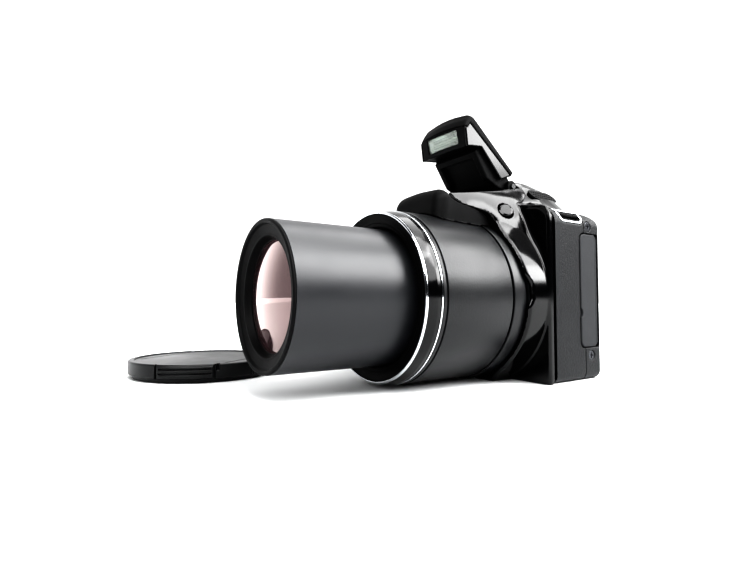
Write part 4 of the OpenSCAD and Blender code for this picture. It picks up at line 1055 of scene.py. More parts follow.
class CAMERA_OT_barrel(bpy.types.Operator):
    """Fixed barrel with its base ring, gloss band, bright rings and bare name face"""

    bl_idname = "camera_parts.barrel"
    bl_label = "Lens barrel"

    def execute(self, context):
        size = sizes()
        lens, place = size.lens, lens_place(size)
        r, front = lens.barrel, lens.front
        back = front - 6.0
        base, seam = lens.base, lens.seam
        turned(
            "lens_barrel",
            [
                (r - 1.6, 9.0, 0), (base, 9.0, 0), (base, 20.7, 0.2), (base - 1.1, 20.9, 0.1),
                (base - 1.1, 22.2, 0.1), (base, 22.4, 0.2), (base, seam - 0.6, 0.3), (r - 0.6, seam - 0.6, 0.1),
                (r - 0.6, seam, 0.1), (r, seam, 0.25), (r, back - 1.8, 0.2), (r - 0.55, back - 1.7, 0.1),
                (r - 0.55, back - 1.2, 0.1), (r - 0.1, back - 1.1, 0.15), (r - 0.1, back, 0.1),
                (r - 2.0, back, 0), (r - 2.0, front - 2.4, 0), (r - 3.2, front - 2.4, 0),
                (r - 3.2, back - 2.0, 0), (r - 1.6, back - 3.4, 0),
            ],
            place, 192, "camera", "barrel_satin", grained_barrel(), "lens_barrel",
        )
        turned(
            "gloss_band",
            [
                (r - 1.95, back + 0.85, 0), (r - 0.3, back + 0.85, 0.15), (r - 0.3, back + 2.2, 0.5),
                (r - 0.9, front - 0.85, 0.15), (r - 1.6, front - 0.85, 0), (r - 1.6, front - 2.35, 0),
                (r - 1.95, front - 2.35, 0),
            ],
            place, 192, "camera", "gloss_shell", polished_abs(), "gloss_band",
        )
        turned(
            "rear_bright_ring",
            [
                (r - 1.95, back + 0.05, 0), (r - 0.5, back + 0.05, 0), (r - 0.25, back + 0.22, 0.1),
                (r - 0.05, back + 0.3, 0.15), (r - 0.1, back + 0.75, 0.15), (r - 1.95, back + 0.8, 0),
            ],
            place, 192, "camera", "trim_chrome", plated(), "chrome_rings",
        )
        turned(
            "front_bright_ring",
            [
                (r - 1.6, front - 0.8, 0), (r - 0.9, front - 0.8, 0.1), (r - 0.85, front - 0.4, 0.15),
                (r - 1.15, front - 0.05, 0.15), (r - 1.6, front - 0.05, 0.1),
            ],
            place, 192, "camera", "trim_chrome", plated(), "chrome_rings",
        )
        turned(
            "name_face",
            [
                (23.3, front - 2.35, 0), (r - 1.65, front - 2.35, 0), (r - 1.65, front - 0.3, 0.1),
                (r - 2.2, front - 0.2, 0.2), (25.2, front - 0.75, 0.3), (24.6, front - 0.75, 0.2),
                (24.3, front - 1.0, 0.1), (23.3, front - 1.1, 0.15),
            ],
            place, 192, "camera", "barrel_satin", matte_black(), "name_ring",
        )
        turned(
            "light_seal",
            [
                (22.8, front - 3.4, 0.2), (25.85, front - 3.4, 0), (25.85, front - 2.4, 0),
                (22.8, front - 2.4, 0.2),
            ],
            place, 160, "camera", "bezel_black", matte_black(), "light_seal",
        )
        return {"FINISHED"}


class CAMERA_OT_zoom(bpy.types.Operator):
    """Telescoping tube, front bezel and front glass"""

    bl_idname = "camera_parts.zoom"
    bl_label = "Zoom tube"

    def execute(self, context):
        size = sizes()
        lens, place = size.lens, lens_place(size)
        r, front, back, glass = lens.tube, lens.tube_front, lens.tube_back, lens.glass
        rim = front - 3.6
        turned(
            "zoom_tube",
            [
                (r - 1.3, back, 0), (r + 0.95, back, 0.2), (r + 0.95, back + 3.0, 0.2), (r, back + 3.6, 0.2),
                (r, front - 0.8, 0.15), (r - 1.3, front - 0.8, 0),
            ],
            place, 192, "zoom_unit", "tube_paint", tube_paint(), "zoom_tube",
        )
        turned(
            "front_bezel",
            [
                (glass + 0.6, rim - 6.0, 0), (r - 1.35, rim - 6.0, 0), (r - 1.35, front - 0.72, 0),
                (r - 0.05, front - 0.72, 0.15), (r - 0.1, front - 0.2, 0.25), (r - 0.7, front, 0.3),
                (r - 1.4, front - 0.15, 0.3), (r - 1.8, front - 0.9, 0.4), (glass + 1.9, front - 1.5, 0.3),
                (glass + 1.2, front - 1.5, 0.3), (glass + 0.8, front - 2.6, 0.2), (glass + 0.4, rim + 0.1, 0.1),
                (glass, rim, 0), (glass + 0.6, rim - 0.05, 0),
            ],
            place, 192, "zoom_unit", "bezel_black", matte_black(), "front_bezel",
        )
        ball = (glass**2 + lens.bulge**2) / (2 * lens.bulge)
        steps = 24
        dome = []
        for k in range(steps + 1):
            a = math.asin(glass / ball) * k / steps
            dome.append((ball * math.sin(a), rim + lens.bulge - ball + ball * math.cos(a), 0))
        edge, deep = glass + 0.45, rim - 4.0
        turned(
            "front_glass", dome + [(glass, rim - 0.1, 0), (edge, rim - 0.12, 0), (edge, deep, 0), (0, deep, 0)],
            place, 128, "zoom_unit", "lens_glass", coated_glass(), "front_lens",
        )
        return {"FINISHED"}


# Flash


def flash_place(size):
    """Frame at the hinge of the raised flash."""
    flash = size.flash
    turn = Matrix.Rotation(-flash.lift, 4, "X")
    return Matrix.Translation((0, -flash.hinge_s * MM, flash.hinge_z * MM)) @ turn


def flash_frame(size, s, z):
    """Distance along the lid and height over the hinge."""
    ds, dz = s - size.flash.hinge_s, z - size.flash.hinge_z
    c, n = math.cos(size.flash.lift), math.sin(size.flash.lift)
    return ds * c + dz * n, dz * c - ds * n


def flash_points(size):
    """Marks in the head's side view: its reach, the lid's underside, the neck, and the face's foot and top."""
    reach = size.flash.reach
    low, neck = size.flash.top - 1.8, reach - 11.2
    return SimpleNamespace(reach=reach, low=low, neck=neck, chin=(reach - 6.5, -4.6), top=(reach - 0.6, 0.5))


WINDOW_MIDDLE = 4.4
HEAD_HALF = 11.35


def swept_back(size, x, u):
    """Distance along the lid, eased back towards the front corners of the head."""
    return u + 1.2 * (x / size.flash.half) ** 2 * np.clip((u - 24.0) / 6.0, 0, 1)


def flash_lid(size, x, s, z):
    """Curved lid with a lip that hangs over the face."""
    u, w = flash_frame(size, s, z)
    mark = flash_points(size)
    reach, low, lip = mark.reach, mark.low, mark.top[1] + 0.2
    half = size.flash.half + 0.2
    rise = size.flash.crown * (1 - (x / half) ** 2) + 0.9 * np.clip((u - 3.0) / 24.0, 0, 1)
    u = swept_back(size, x, u)
    line = [
        (2.6, low), (2.6, size.flash.top), (reach + 0.2, size.flash.top), (reach + 0.1, 3.0), (reach - 0.5, lip),
        (reach - 1.6, lip), (reach - 1.6, low),
    ]
    bent = np.where(w > low + 0.5, w - rise * np.clip(w - low - 0.5, 0, 1), w)
    plan = rounded_box(x, u - reach / 2 + 2.0, half, reach / 2 + 2.2, 2.2)
    return clip(polygon(u, bent, line), plan, 0.5)


def flash_head(size, x, s, z):
    """Matte block of the flash head, with the pocket of its window."""
    u, w = flash_frame(size, s, z)
    mark = flash_points(size)
    chin, top, root, back = mark.chin, mark.top, mark.neck + 0.1, mark.reach - 1.75
    u = swept_back(size, x, u)
    line = [(root, mark.low - 0.02), (root, 0.0), chin, top, (back, top[1] + 0.1), (back, mark.low - 0.02)]
    made = clip(polygon(u, w, line), np.abs(x) - HEAD_HALF, 0.4)
    side = Vector((top[0] - chin[0], top[1] - chin[1])).normalized()
    along = (u - chin[0]) * side.x + (w - chin[1]) * side.y
    out = (u - chin[0]) * side.y - (w - chin[1]) * side.x
    pocket = rounded_box(x, along - WINDOW_MIDDLE, size.flash.window + 0.1, 2.6, 0.4)
    return carve(made, np.maximum(pocket, -3.2 - out), 0.35)


def flash_cheek(size, x, s, z):
    """Polished side walls of the flash head."""
    u, w = flash_frame(size, s, z)
    mark = flash_points(size)
    chin, top, under, back = mark.chin, mark.top, mark.low - 0.03, mark.reach - 1.7
    u = swept_back(size, x, u)
    line = [
        (2.9, under), (5.8, -1.7), (mark.neck - 0.7, 0.4), chin, top, (back, top[1] + 0.1), (back, under),
    ]
    return clip(polygon(u, w, line), between(np.abs(x), HEAD_HALF + 0.05, size.flash.half), 0.3)


def flash_arm(size, x, s, z):
    """Folding neck that carries the head."""
    u, w = flash_frame(size, s, z)
    mark = flash_points(size)
    under, neck = mark.low - 0.05, mark.neck
    line = [(0.0, 2.2), (3.0, under), (neck, under), (neck, -2.2), (10.5, -5.6), (4.0, -4.2), (0.0, -2.2)]
    made = join(polygon(u, w, line), np.hypot(u, w) - 2.2, 0.5)
    panel = polygon(u, w + 1.7, [(6.0, -3.2), (18.5, 0.6), (18.5, -6.0), (6.0, -6.0)])
    made = carve(made, np.maximum(panel, np.abs(x) - 8.5), 0.4)
    return clip(made, np.abs(x) - 10.9, 0.6)


class CAMERA_OT_flash(bpy.types.Operator):
    """Raised flash: arm, head, cheeks, lid, ribbed window, reflector and tube"""

    bl_idname = "camera_parts.flash"
    bl_label = "Pop-up flash"

    def execute(self, context):
        size = sizes()
        low, high = (-13.5, 0.0, 62.0), (13.5, 40.0, 97.0)
        for name, form, step, slot, look, node in (
            ("flash_arm", flash_arm, 0.4, "satin_shell", matte_black, "flash_arm"),
            ("flash_head", flash_head, 0.35, "gloss_shell", matte_black, "flash_housing"),
            ("flash_cheeks", flash_cheek, 0.35, "gloss_shell", polished_abs, "flash_housing"),
            ("flash_lid", flash_lid, 0.35, "satin_shell", matte_black, "flash_lid"),
        ):
            shaped(name, partial(form, size), low, high, step, "flash_head", slot, look(), node)
        mark = flash_points(size)
        chin, top = mark.chin, mark.top
        side = Vector((0, -(top[0] - chin[0]), top[1] - chin[1])).normalized()
        across = Vector((1, 0, 0))
        origin = Vector((0, -chin[0], chin[1])) + side * WINDOW_MIDDLE
        axes = Matrix((across, side, across.cross(side))).transposed().to_4x4()
        place = flash_place(size) @ Matrix.Translation(origin * MM) @ axes
        half = size.flash.window
        self.window(place, half)
        self.reflector(place, half - 0.2)
        end, thick = half - 0.6, 0.55
        turned(
            "flash_tube", [(0, -end, 0), (thick, -end, 0.1), (thick, end, 0.1), (0, end, 0)],
            place @ Matrix.Translation((0, 0, -2.6 * MM)) @ Matrix.Rotation(math.pi / 2, 4, "Y"), 24,
            "flash_head", "flash_clear", clear_window(), "flash_reflector",
        )
        return {"FINISHED"}

    def pairs(self, place, half, line):
        """Points at both ends of bars that lie along the window, at each (across, level) of a line."""
        return [place @ Vector((u * MM, v * MM, level * MM)) for v, level in line for u in (-half, half)]

    def window(self, place, half):
        """Ribbed window: a plate with ridges along it."""
        bars, edge = 16, 2.5
        ribs = [(-edge + 2 * edge * k / bars, -0.7 if k % 2 else -0.76) for k in range(bars + 1)]
        points = self.pairs(place, half, ribs + [(-edge, -1.3), (edge, -1.3)])
        last, top_row = 2 * bars + 2, 2 * bars
        faces = [[2 * k, 2 * k + 1, 2 * k + 3, 2 * k + 2] for k in range(bars)]
        faces.append([last, last + 2, last + 3, last + 1])
        faces.append([0, last, last + 1, 1])
        faces.append([top_row, top_row + 1, last + 3, last + 2])
        faces.append([last] + [2 * k for k in range(bars + 1)] + [last + 2])
        faces.append([last + 3] + [2 * k + 1 for k in range(bars, -1, -1)] + [last + 1])
        plate = meshed("flash_window", points, faces)
        weld(plate)
        plate.data.shade_flat()
        fitted(plate, "flash_head", "flash_clear", clear_window(), "flash_window")

    def reflector(self, place, half):
        """Bright trough behind the window."""
        line = [(-2.45, -1.4), (-2.2, -2.4), (-1.4, -3.4), (0.0, -3.8), (1.4, -3.4), (2.2, -2.4), (2.45, -1.4)]
        count = len(line)
        faces = [[2 * k, 2 * k + 1, 2 * k + 3, 2 * k + 2] for k in range(count - 1)]
        faces.append([2 * k for k in range(count)])
        faces.append([2 * k + 1 for k in range(count)][::-1])
        trough = meshed("flash_reflector", self.pairs(place, half, line), faces)
        fitted(trough, "flash_head", "trim_chrome", plated(), "flash_reflector")


# Controls and small parts


def rear_place(x, z):
    """Frame on the rear, its z axis behind."""
    return Matrix.Translation((x * MM, 0, z * MM)) @ Matrix.Rotation(-math.pi / 2, 4, "X")


def seat(point, out):
    """Frame with its z axis out of a surface."""
    turn = Vector(out).to_track_quat("Z", "Y").to_matrix().to_4x4()
    return Matrix.Translation(Vector(point) * MM) @ turn


class CAMERA_OT_rear_controls(bpy.types.Operator):
    """Display glass, rear keys and selector"""

    bl_idname = "camera_parts.rear_controls"
    bl_label = "Rear controls"

    def execute(self, context):
        size = sizes()
        rear = size.rear
        glass = tablet(
            "display_glass", rear.lcd_w, rear.lcd_h, 2.0,
            [(0.0, 16.5), (0.0, 18.2), (0.12, 18.5), (0.5, 18.75), (1.1, 18.8)],
            rear_place(rear.lcd_x, rear.lcd_z),
        )
        fitted(glass, "camera", "display_glass", display_glass(size), "lcd_glass")
        foot, flange = 14.1, 15.4
        for (x, z, r), name in zip(key_places(size), ("record", "mode", "playback", "menu", "delete")):
            look, slot = (record_red(), "key_steel") if name == "record" else (satin_black(), "gloss_shell")
            turned(
                name + "_key",
                [
                    (0, foot, 0), (r + 0.7, foot, 0), (r + 0.7, flange, 0), (r, flange, 0), (r, 18.05, 0.4),
                    (r * 0.7, 18.3, 1.2), (0, 18.32, 0),
                ],
                rear_place(x, z), 64, name + "_key", slot, look, name + "_button",
            )
        place = rear_place(rear.keys_x, rear.dial_z)
        dish = 7.3
        turned(
            "selector_ring",
            [
                (4.4, foot, 0), (10.9, foot, 0), (10.9, flange, 0), (10.0, flange, 0), (10.0, 18.1, 0.3),
                (9.3, 18.5, 0.6), (dish, 18.15, 1.2), (5.2, 18.5, 0.5), (4.4, 18.1, 0.25),
            ],
            place, 96, "selector_key", "gloss_shell", satin_black(), "selector_ring",
        )
        for k in range(4):
            a = math.pi / 2 * k
            turned(
                "selector_pip_%d" % k, [(0, 18.0, 0), (0.5, 18.0, 0), (0.42, 18.5, 0.2), (0, 18.55, 0)],
                place @ Matrix.Translation((dish * math.cos(a) * MM, dish * math.sin(a) * MM, 0)), 24,
                "selector_key", "gloss_shell", plated(),
            )
        turned(
            "ok_key",
            [
                (0, foot, 0), (4.3, foot, 0), (4.3, 18.0, 0.35), (3.4, 18.3, 0.8), (1.8, 18.15, 0.8),
                (0, 18.1, 0),
            ],
            place, 64, "ok_key", "key_steel", satin_metal(), "ok_button",
        )
        return {"FINISHED"}


def lever_form(x, s, z):
    """Zoom lever ring with a knurled edge and a finger tab at its front."""
    u, v, n = local(SHUTTER_AT, SHUTTER_OUT, (0, 1, 0), x, s, z)
    radius = np.hypot(u, v)
    turn = np.arctan2(v, u)
    knurl = 0.12 * np.cos(44 * turn) * np.clip((np.sin(turn) + 0.6) / 0.3, 0, 1)
    made = clip(np.maximum(radius - 9.35 - knurl, 6.0 - radius), between(n, 0.06, 3.3), 0.45)
    tab = clip(rounded_box(u, v + 9.6, 2.0, 2.0, 0.9), between(n, 0.6, 4.1), 0.6)
    return np.maximum(join(made, tab, 0.8), 6.0 - radius)


class CAMERA_OT_top_controls(bpy.types.Operator):
    """Shutter button, zoom lever, power button and flash release"""

    bl_idname = "camera_parts.top_controls"
    bl_label = "Top controls"

    def execute(self, context):
        turned(
            "shutter_key",
            [
                (0, -3, 0), (1.5, -3, 0), (1.5, 1, 0), (5.4, 1, 0), (5.4, 4.5, 0.5), (4.7, 4.9, 0.5),
                (3.0, 4.6, 1.5), (0, 4.45, 0),
            ],
            seat(SHUTTER_AT, SHUTTER_OUT), 96, "shutter_key", "trim_chrome", satin_metal(), "shutter_button",
        )
        shaped(
            "zoom_lever", lever_form, (-77.5, 8.5, 52.5), (-54.5, 35.0, 64.5), 0.3,
            "lever", "gloss_shell", satin_black(), "zoom_lever",
        )
        turned(
            "power_key",
            [
                (0, -5.2, 0), (3.6, -5.2, 0), (3.6, -4.3, 0), (4.4, -4.25, 0), (4.4, -3.25, 0), (3.6, -3.25, 0),
                (3.6, 0.45, 0.4), (2.6, 0.7, 0.8), (0, 0.6, 0),
            ],
            seat(POWER_AT, (0, 0, 1)), 72, "power_key", "gloss_shell", satin_black(), "power_button",
        )
        turned(
            "flash_release", [(0, -2.5, 0), (2.6, -2.5, 0), (2.6, 0.7, 0.3), (1.9, 0.93, 0.8), (0, 0.95, 0)],
            seat(RELEASE_AT, RELEASE_OUT), 64, "flash_key", "gloss_shell", polished_abs(), "flash_button",
        )
        return {"FINISHED"}


def strap_rim(size, x, s, z):
    """Bright bead round the mouth of the strap lug."""
    return np.hypot(cover_outline(size, x, z) + 0.2, lug_pocket(size, x, s, z, 0.0) + 0.45) - 0.42


def strap_well(size, x, s, z):
    """Dark bowl behind the bead, with the bar across it."""
    bowl = np.maximum(lug_pocket(size, x, s, z, 0.0), cover_outline(size, x, z) + 0.5)
    deep = clip(lug_pocket(size, x, s, z, -0.7), 57.0 - z, 1.5)
    bar = np.hypot(x - size.body.side + 2.3, z - size.body.height + 2.3) - 0.8
    return join(without(bowl, deep), np.maximum(bar, np.abs(s) - 6.6), 0.4)


def screw_form(place, x, s, z):
    """Countersunk screw head with a cross recess."""
    u, v, n = local(*place, x, s, z)
    made = clip(np.hypot(u, v) - 1.68, between(n, -1.0, -0.2), 0.15)
    cross = np.minimum(rounded_box(u, v, 1.05, 0.2, 0.1), rounded_box(u, v, 0.2, 1.05, 0.1))
    return carve(made, np.maximum(cross, -0.75 - n), 0.06)


def flap_form(size, x, s, z):
    """Connector cover, rolled at its hinge edge, with a nail notch at its front edge."""
    side = size.body.side
    made = clip(flap_plan(s, z, -0.02), between(x, side - 1.5, side + 0.2), 0.4)
    notch = np.hypot(s + 3.6, z - 24.0) - 1.9
    made = carve(made, np.maximum(notch, side - 0.6 - x), 0.2)
    dx, ds = x - FLAP_HINGE_X, s - FLAP_HINGE_S
    roll = np.where(ds < 0, np.hypot(dx, ds) - 0.6, dx - 0.6 + 0.2 * ds)
    return carve(made, np.maximum(-roll, ds - 1.5), 0.1)


class CAMERA_OT_fittings(bpy.types.Operator):
    """Strap lugs, screws, connector cover, focus lamp and tripod bush"""

    bl_idname = "camera_parts.fittings"
    bl_label = "Fittings"

    def execute(self, context):
        size = sizes()
        side, grip = size.body.side, size.body.side - size.body.width
        middle = side - size.body.width / 2
        for form, look, part in ((strap_rim, plated(), "rim"), (strap_well, matte_black(), "well")):
            shaped(
                "strap_%s_side" % part, partial(form, size),
                (side - 5.6, -7.4, 55.2), (side + 0.6, 7.4, 61.6), 0.2,
                "camera", "trim_chrome", look, "strap_lug_side",
            )
            shaped(
                "strap_%s_grip" % part, lambda x, s, z: form(size, 2 * middle - x, s, z),
                (grip - 0.6, -7.4, 55.2), (grip + 5.6, 7.4, 61.6), 0.2,
                "camera", "trim_chrome", look, "strap_lug_grip",
            )
        spots = [((side, -s, z), (1, 0, 0)) for s, z in SIDE_SCREWS]
        spots += [((x, -s, 0.0), (0, 0, -1)) for x, s in BASE_SCREWS]
        for k, (at, out) in enumerate(spots):
            ahead = (at[0], -at[1], at[2])
            shaped(
                "case_screw_%d" % k, partial(screw_form, (at, out, (0, 1, 0))),
                [v - 2.0 for v in ahead], [v + 2.0 for v in ahead], 0.1,
                "camera", "part_steel", black_steel(), "case_screws",
            )
        shaped(
            "connector_cover", partial(flap_form, size), (29.8, -16.0, 11.0), (32.8, -3.9, 53.2), 0.22,
            "flap", "flap_rubber", flap_rubber(), "connector_cover",
        )
        turned(
            "focus_lamp", [(0, 9.4, 0), (3.0, 9.4, 0), (3.0, 12.0, 0.3), (2.0, 12.35, 1.0), (0, 12.4, 0)],
            Matrix.Translation((LAMP_AT[0] * MM, 0, LAMP_AT[1] * MM)) @ Matrix.Rotation(math.pi / 2, 4, "X"), 64,
            "camera", "lamp_amber", amber_lamp(), "focus_lamp",
        )
        bore, root, pitch = 2.6, 3.1, 1.27
        line = [
            (5.0, 0.0, 0.2), (5.0, 2.0, 0), (6.4, 2.0, 0), (6.4, 3.2, 0), (5.0, 3.2, 0), (5.0, 6.8, 0.2),
            (0, 6.8, 0), (0, 6.0, 0), (bore, 6.0, 0),
        ]
        for k in range(4):
            z = 5.6 - pitch * k
            line += [(bore, z, 0), (root, z - 0.5, 0), (root, z - 0.7, 0), (bore, z - 1.2, 0)]
        line += [(bore, 0.4, 0), (root, 0.0, 0.1)]
        turned("tripod_bush", line, Matrix(), 64, "camera", "part_steel", drawn_steel(), "tripod_bush")
        return {"FINISHED"}


# Lens cap


def cap_frame(size, x, s):
    """Coordinates across the cap, u through the latches."""
    dx, dy = x - size.cap.x, -s + size.cap.s
    c, n = math.cos(size.cap.turn), math.sin(size.cap.turn)
    return dx * c + dy * n, dy * c - dx * n


def cap_grip(size, u, v):
    """Coordinates out of and along the cap's finger panels, which face both ways."""
    c, n = math.cos(size.cap.panel), math.sin(size.cap.panel)
    out, along = u * c + v * n, v * c - u * n
    return np.abs(out), along * np.sign(out)


PANEL_BACK = 20.0


def cap_form(size, x, s, z):
    """Lens cap: a flange over a smaller skirt, a dished top, ribbed finger panels, slots and latch windows."""
    u, v = cap_frame(size, x, s)
    r, height = size.cap.radius, size.cap.height
    radius = np.hypot(u, v)
    made = clip(radius - r, between(z, 1.5, height), 0.6)
    made = join(made, clip(radius - r + 1.5, between(z, 0.0, height - 1.0), 0.4), 0.3)
    out, along = cap_grip(size, u, v)
    behind = PANEL_BACK - out
    panel = np.maximum(np.abs(along) - 9.4, between(z, 1.7, height - 0.7))
    made = np.minimum(made, clip(np.maximum(radius - r - 0.3, behind), panel, 0.25))
    groove = np.minimum(np.abs(z - 4.9), np.abs(z - 3.3)) - 0.22
    made = carve(made, all_of(groove, np.abs(along) - 8.8, r - 0.35 - radius, behind), 0.1)
    made = carve(made, all_of(np.abs(np.abs(along) - 9.9) - 0.32, r - 0.8 - radius, behind), 0.1)
    made = carve(made, all_of(np.abs(along - 10.6) - 0.55, r - 2.0 - radius, behind, 4.2 - z), 0.12)
    end = all_of(np.abs(out - 6.6) - 1.9, between(z, 2.3, 5.6), 22.5 - np.abs(along), r - 1.3 - radius)
    made = carve(made, end, 0.2)
    dish = np.maximum(radius - r + 2.3, height - 0.45 - z + 0.25 * np.clip(1 - radius / r, 0, 1))
    made = carve(made, dish, 0.25)
    under = np.minimum(radius - 23.0, np.maximum(24.0 - radius, radius - r + 2.4))
    made = without(made, np.maximum(under, z - 4.7))
    window = all_of(np.abs(v) - 6.1, 24.25 - np.abs(u), between(z, 1.4, 4.4))
    made = carve(made, window, 0.15)
    return carve(made, all_of(np.abs(np.abs(u) - 18.5) - 0.25, np.abs(v) - 13.0, height - 0.85 - z), 0.12)


def latch_form(size, hand, x, s, z):
    """Spring latch with a ribbed finger edge."""
    u, v = cap_frame(size, x, s)
    u = u * hand
    ribs = 0.16 * np.cos(2 * math.pi * v / 1.2)
    made = all_of(np.hypot(u, v) - size.cap.radius - 0.1 - ribs, 25.35 - u, np.abs(v) - 5.95)
    return clip(made, between(z, 1.55, 4.25), 0.25)


class CAMERA_OT_lens_cap(bpy.types.Operator):
    """Loose lens cap with two spring latches"""

    bl_idname = "camera_parts.lens_cap"
    bl_label = "Lens cap"

    def execute(self, context):
        size = sizes()
        x, s = size.cap.x, size.cap.s
        low, high = (x - 28.0, s - 28.0, -0.5), (x + 28.0, s + 28.0, 7.2)
        shaped("lens_cap", partial(cap_form, size), low, high, 0.3, "cap", "cap_black", cap_abs(), "lens_cap")
        for hand, name in ((1.0, "outer"), (-1.0, "inner")):
            shaped(
                "cap_latch_" + name, partial(latch_form, size, hand), low, high, 0.25,
                "latch_" + name, "cap_black", cap_abs(), "cap_latch_" + name,
            )
        return {"FINISHED"}


class CAMERA_OT_inner_parts(bpy.types.Operator):
    """Finishes of the solids that are shown as they are"""

    bl_idname = "camera_parts.inner_parts"
    bl_label = "Inner parts"

    def execute(self, context):
        looks = {
            matte_black: ("speaker_grille", "lens_housing", "guide_barrel", "socket_block", "battery_holder"),
            drawn_steel: ("cam_barrel", "sensor_plate", "zoom_motor", "door_pin", "lcd_panel"),
            satin_black: ("flash_hinge_pin",),
            circuit_board: ("main_board", "key_board"),
            contact_plate: ("holder_contacts", "door_contacts"),
            coated_glass: ("rear_lens_group", "image_sensor"),
            cell_jacket: ("battery_cells", "flash_capacitor"),
            stippled_abs: ("battery_door",),
        }
        for look, nodes in looks.items():
            for node in nodes:
                dress(node, look())
        return {"FINISHED"}


# Stage

AIM = Vector((-0.01, -0.03, 0.04))
EYE_AT = (0.133071, -0.153521, 0.027694)
EYE_TURN = (math.radians(92.531), 0.0, math.radians(55.622))
FLOOR_SIDES = 96
BRIGHT_SIDE = (-0.82, 0.56, 0.12)


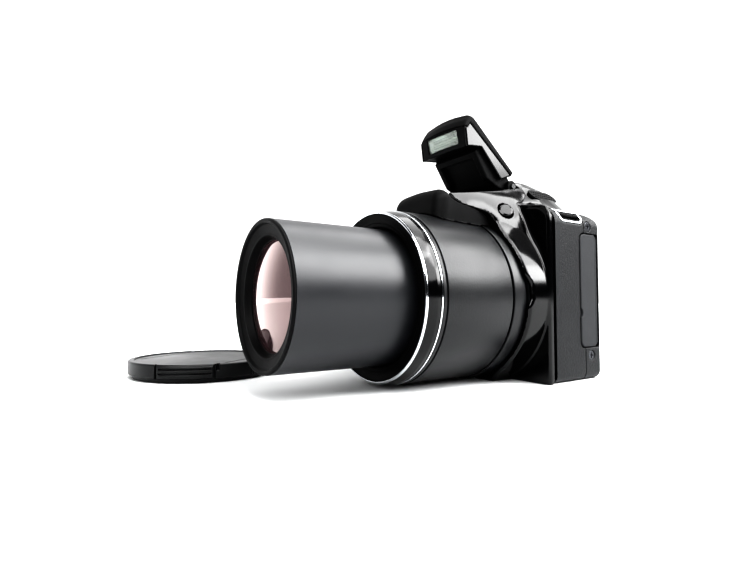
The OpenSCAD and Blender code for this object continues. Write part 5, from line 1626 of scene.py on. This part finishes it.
class CAMERA_OT_stage(bpy.types.Operator):
    """Pale floor, soft studio light and the camera"""

    bl_idname = "camera_parts.stage"
    bl_label = "Stage"

    def execute(self, context):
        scene = context.scene
        stage = scene.camera_stage
        self.floor(stage.floor)
        self.world(scene)
        self.far_light("overhead_softbox", (0.52, 0.62, 0.59), 42.0, stage.overhead)
        self.far_light("top_softbox", (0.46, 0.10, 0.88), 36.0, stage.overhead * 0.75)
        for name, towards, degrees, share in (
            ("edge_softbox", (0.42, -0.60, 0.68), 40.0, 1.1),
            ("flank_softbox", (0.78, 0.20, 0.59), 36.0, 0.55),
            ("zenith_softbox", (-0.1, 0.3, 0.95), 44.0, 0.5),
        ):
            self.far_light(name, towards, degrees, stage.overhead * share).visible_diffuse = False
        self.far_light("ceiling_bounce", (0.3, -0.5, 0.8), 160.0, stage.fill).visible_glossy = False
        self.softbox("side_softbox", (0.67, 0.66, 0.34), 0.8, (0.26, 0.22), stage.side)
        front = self.softbox("front_softbox", (-0.80, -0.60, 0.14), 0.8, (1.6, 0.8), stage.lens)
        front.visible_diffuse = False
        data = bpy.data.cameras.new("camera")
        data.sensor_fit = "HORIZONTAL"
        data.sensor_width = 36.0
        data.lens = stage.focal
        data.clip_start = 0.01
        eye = bpy.data.objects.new("camera", data)
        eye.location = EYE_AT
        eye.rotation_euler = EYE_TURN
        scene.collection.objects.link(eye)
        scene.camera = eye
        scene.view_settings.view_transform = "Standard"
        scene.view_settings.look = "Very High Contrast"
        return {"FINISHED"}

    def placed(self, data, towards, power):
        """Light object that shines from a direction."""
        data.energy = power
        box = bpy.data.objects.new(data.name, data)
        box.rotation_euler = (-Vector(towards)).to_track_quat("-Z", "Y").to_euler()
        bpy.context.scene.collection.objects.link(box)
        return box

    def softbox(self, name, towards, far, size, power):
        """Softbox near the camera."""
        data = bpy.data.lights.new(name, "AREA")
        data.shape = "RECTANGLE"
        data.size, data.size_y = size
        box = self.placed(data, towards, power)
        box.location = AIM + Vector(towards).normalized() * far
        box.visible_camera = False
        return box

    def far_light(self, name, towards, degrees, power):
        """Softbox so far away that its light falls evenly."""
        data = bpy.data.lights.new(name, "SUN")
        data.angle = math.radians(degrees)
        return self.placed(data, towards, power)

    def floor(self, radius):
        """Round pale floor."""
        turns = np.linspace(0, 2 * math.pi, FLOOR_SIDES + 1)[:-1]
        points = [(0.0, 0.0, 0.0)] + [(radius * math.cos(a), radius * math.sin(a), 0.0) for a in turns]
        faces = [[0, k + 1, (k + 1) % FLOOR_SIDES + 1] for k in range(FLOOR_SIDES)]
        floor = meshed("floor", points, faces)
        made, tree = finish("pale studio sweep")
        place = add(tree, "ShaderNodeTexCoord")
        drift = add(tree, "ShaderNodeTexNoise", {"Vector": (place, "Object"), "Scale": per(60.0), "Detail": 3.0})
        tones = {"Factor": (drift, "Fac"), MIX_A: linear("#eceded", 1.0), MIX_B: linear("#f0f1f1", 1.0)}
        shade = add(tree, "ShaderNodeMix", tones, data_type="RGBA")
        closed(made, add(tree, "ShaderNodeBsdfPrincipled", {"Base Color": (shade, MIX_OUT), "Roughness": 0.7}))
        floor.data.materials.append(made)

    def world(self, scene):
        """Studio that is bright on one side and white behind the object."""
        world = bpy.data.worlds.new("studio")
        world.use_nodes = True
        tree = world.node_tree
        tree.nodes.clear()
        place = add(tree, "ShaderNodeTexCoord")
        sides = {0: (place, "Generated"), 1: BRIGHT_SIDE}
        facing = add(tree, "ShaderNodeVectorMath", sides, operation="DOT_PRODUCT")
        fade = {"Value": (facing, "Value"), "From Min": 0.2, "From Max": 0.66, "To Min": 0.0, "To Max": 1.0}
        share = add(tree, "ShaderNodeMapRange", fade, interpolation_type="SMOOTHSTEP")
        tones = {"Factor": (share, "Result"), MIX_A: linear("#2c2d2f", 1.0), MIX_B: linear("#ffffff", 1.0)}
        room = add(tree, "ShaderNodeMix", tones, data_type="RGBA")
        path = add(tree, "ShaderNodeLightPath")
        view = {"Factor": (path, "Is Camera Ray"), MIX_A: (room, MIX_OUT), MIX_B: linear("#ffffff", 1.0)}
        seen = add(tree, "ShaderNodeMix", view, data_type="RGBA")
        sky = add(tree, "ShaderNodeBackground", {"Color": (seen, MIX_OUT), "Strength": 1.0})
        add(tree, "ShaderNodeOutputWorld", {"Surface": (sky, "Background")})
        scene.world = world


class CAMERA_PT_parts(bpy.types.Panel):
    """Lists the groups of parts in the sidebar"""

    bl_idname = "CAMERA_PT_parts"
    bl_label = "Bridge camera"
    bl_space_type = "VIEW_3D"
    bl_region_type = "UI"
    bl_category = "Bridge camera"

    def draw(self, context):
        for name in STEPS:
            self.layout.operator("camera_parts." + name)
        for group in GROUPS:
            box = self.layout.box()
            settings = getattr(context.scene, group)
            for name in settings.__annotations__:
                box.prop(settings, name)


STEPS = (
    "covers", "barrel", "zoom", "flash", "rear_controls", "top_controls", "fittings", "lens_cap", "inner_parts",
    "stage",
)
CLASSES = (
    BodySizes, LensSizes, FlashSizes, RearSizes, CapSizes, Colours, StageSettings,
    CAMERA_OT_covers, CAMERA_OT_barrel, CAMERA_OT_zoom, CAMERA_OT_flash, CAMERA_OT_rear_controls,
    CAMERA_OT_top_controls, CAMERA_OT_fittings, CAMERA_OT_lens_cap, CAMERA_OT_inner_parts, CAMERA_OT_stage,
    CAMERA_PT_parts,
)
GROUPS = {
    "camera_body": BodySizes, "camera_lens": LensSizes, "camera_flash": FlashSizes, "camera_rear": RearSizes,
    "camera_cap": CapSizes, "camera_colours": Colours, "camera_stage": StageSettings,
}


def register():
    for kind in CLASSES:
        bpy.utils.register_class(kind)
    for name, kind in GROUPS.items():
        setattr(bpy.types.Scene, name, PointerProperty(type=kind))


def unregister():
    for name in GROUPS:
        delattr(bpy.types.Scene, name)
    for kind in reversed(CLASSES):
        bpy.utils.unregister_class(kind)


def main():
    register()
    for name in STEPS:
        getattr(bpy.ops.camera_parts, name)()


if __name__ == "__main__":
    main()
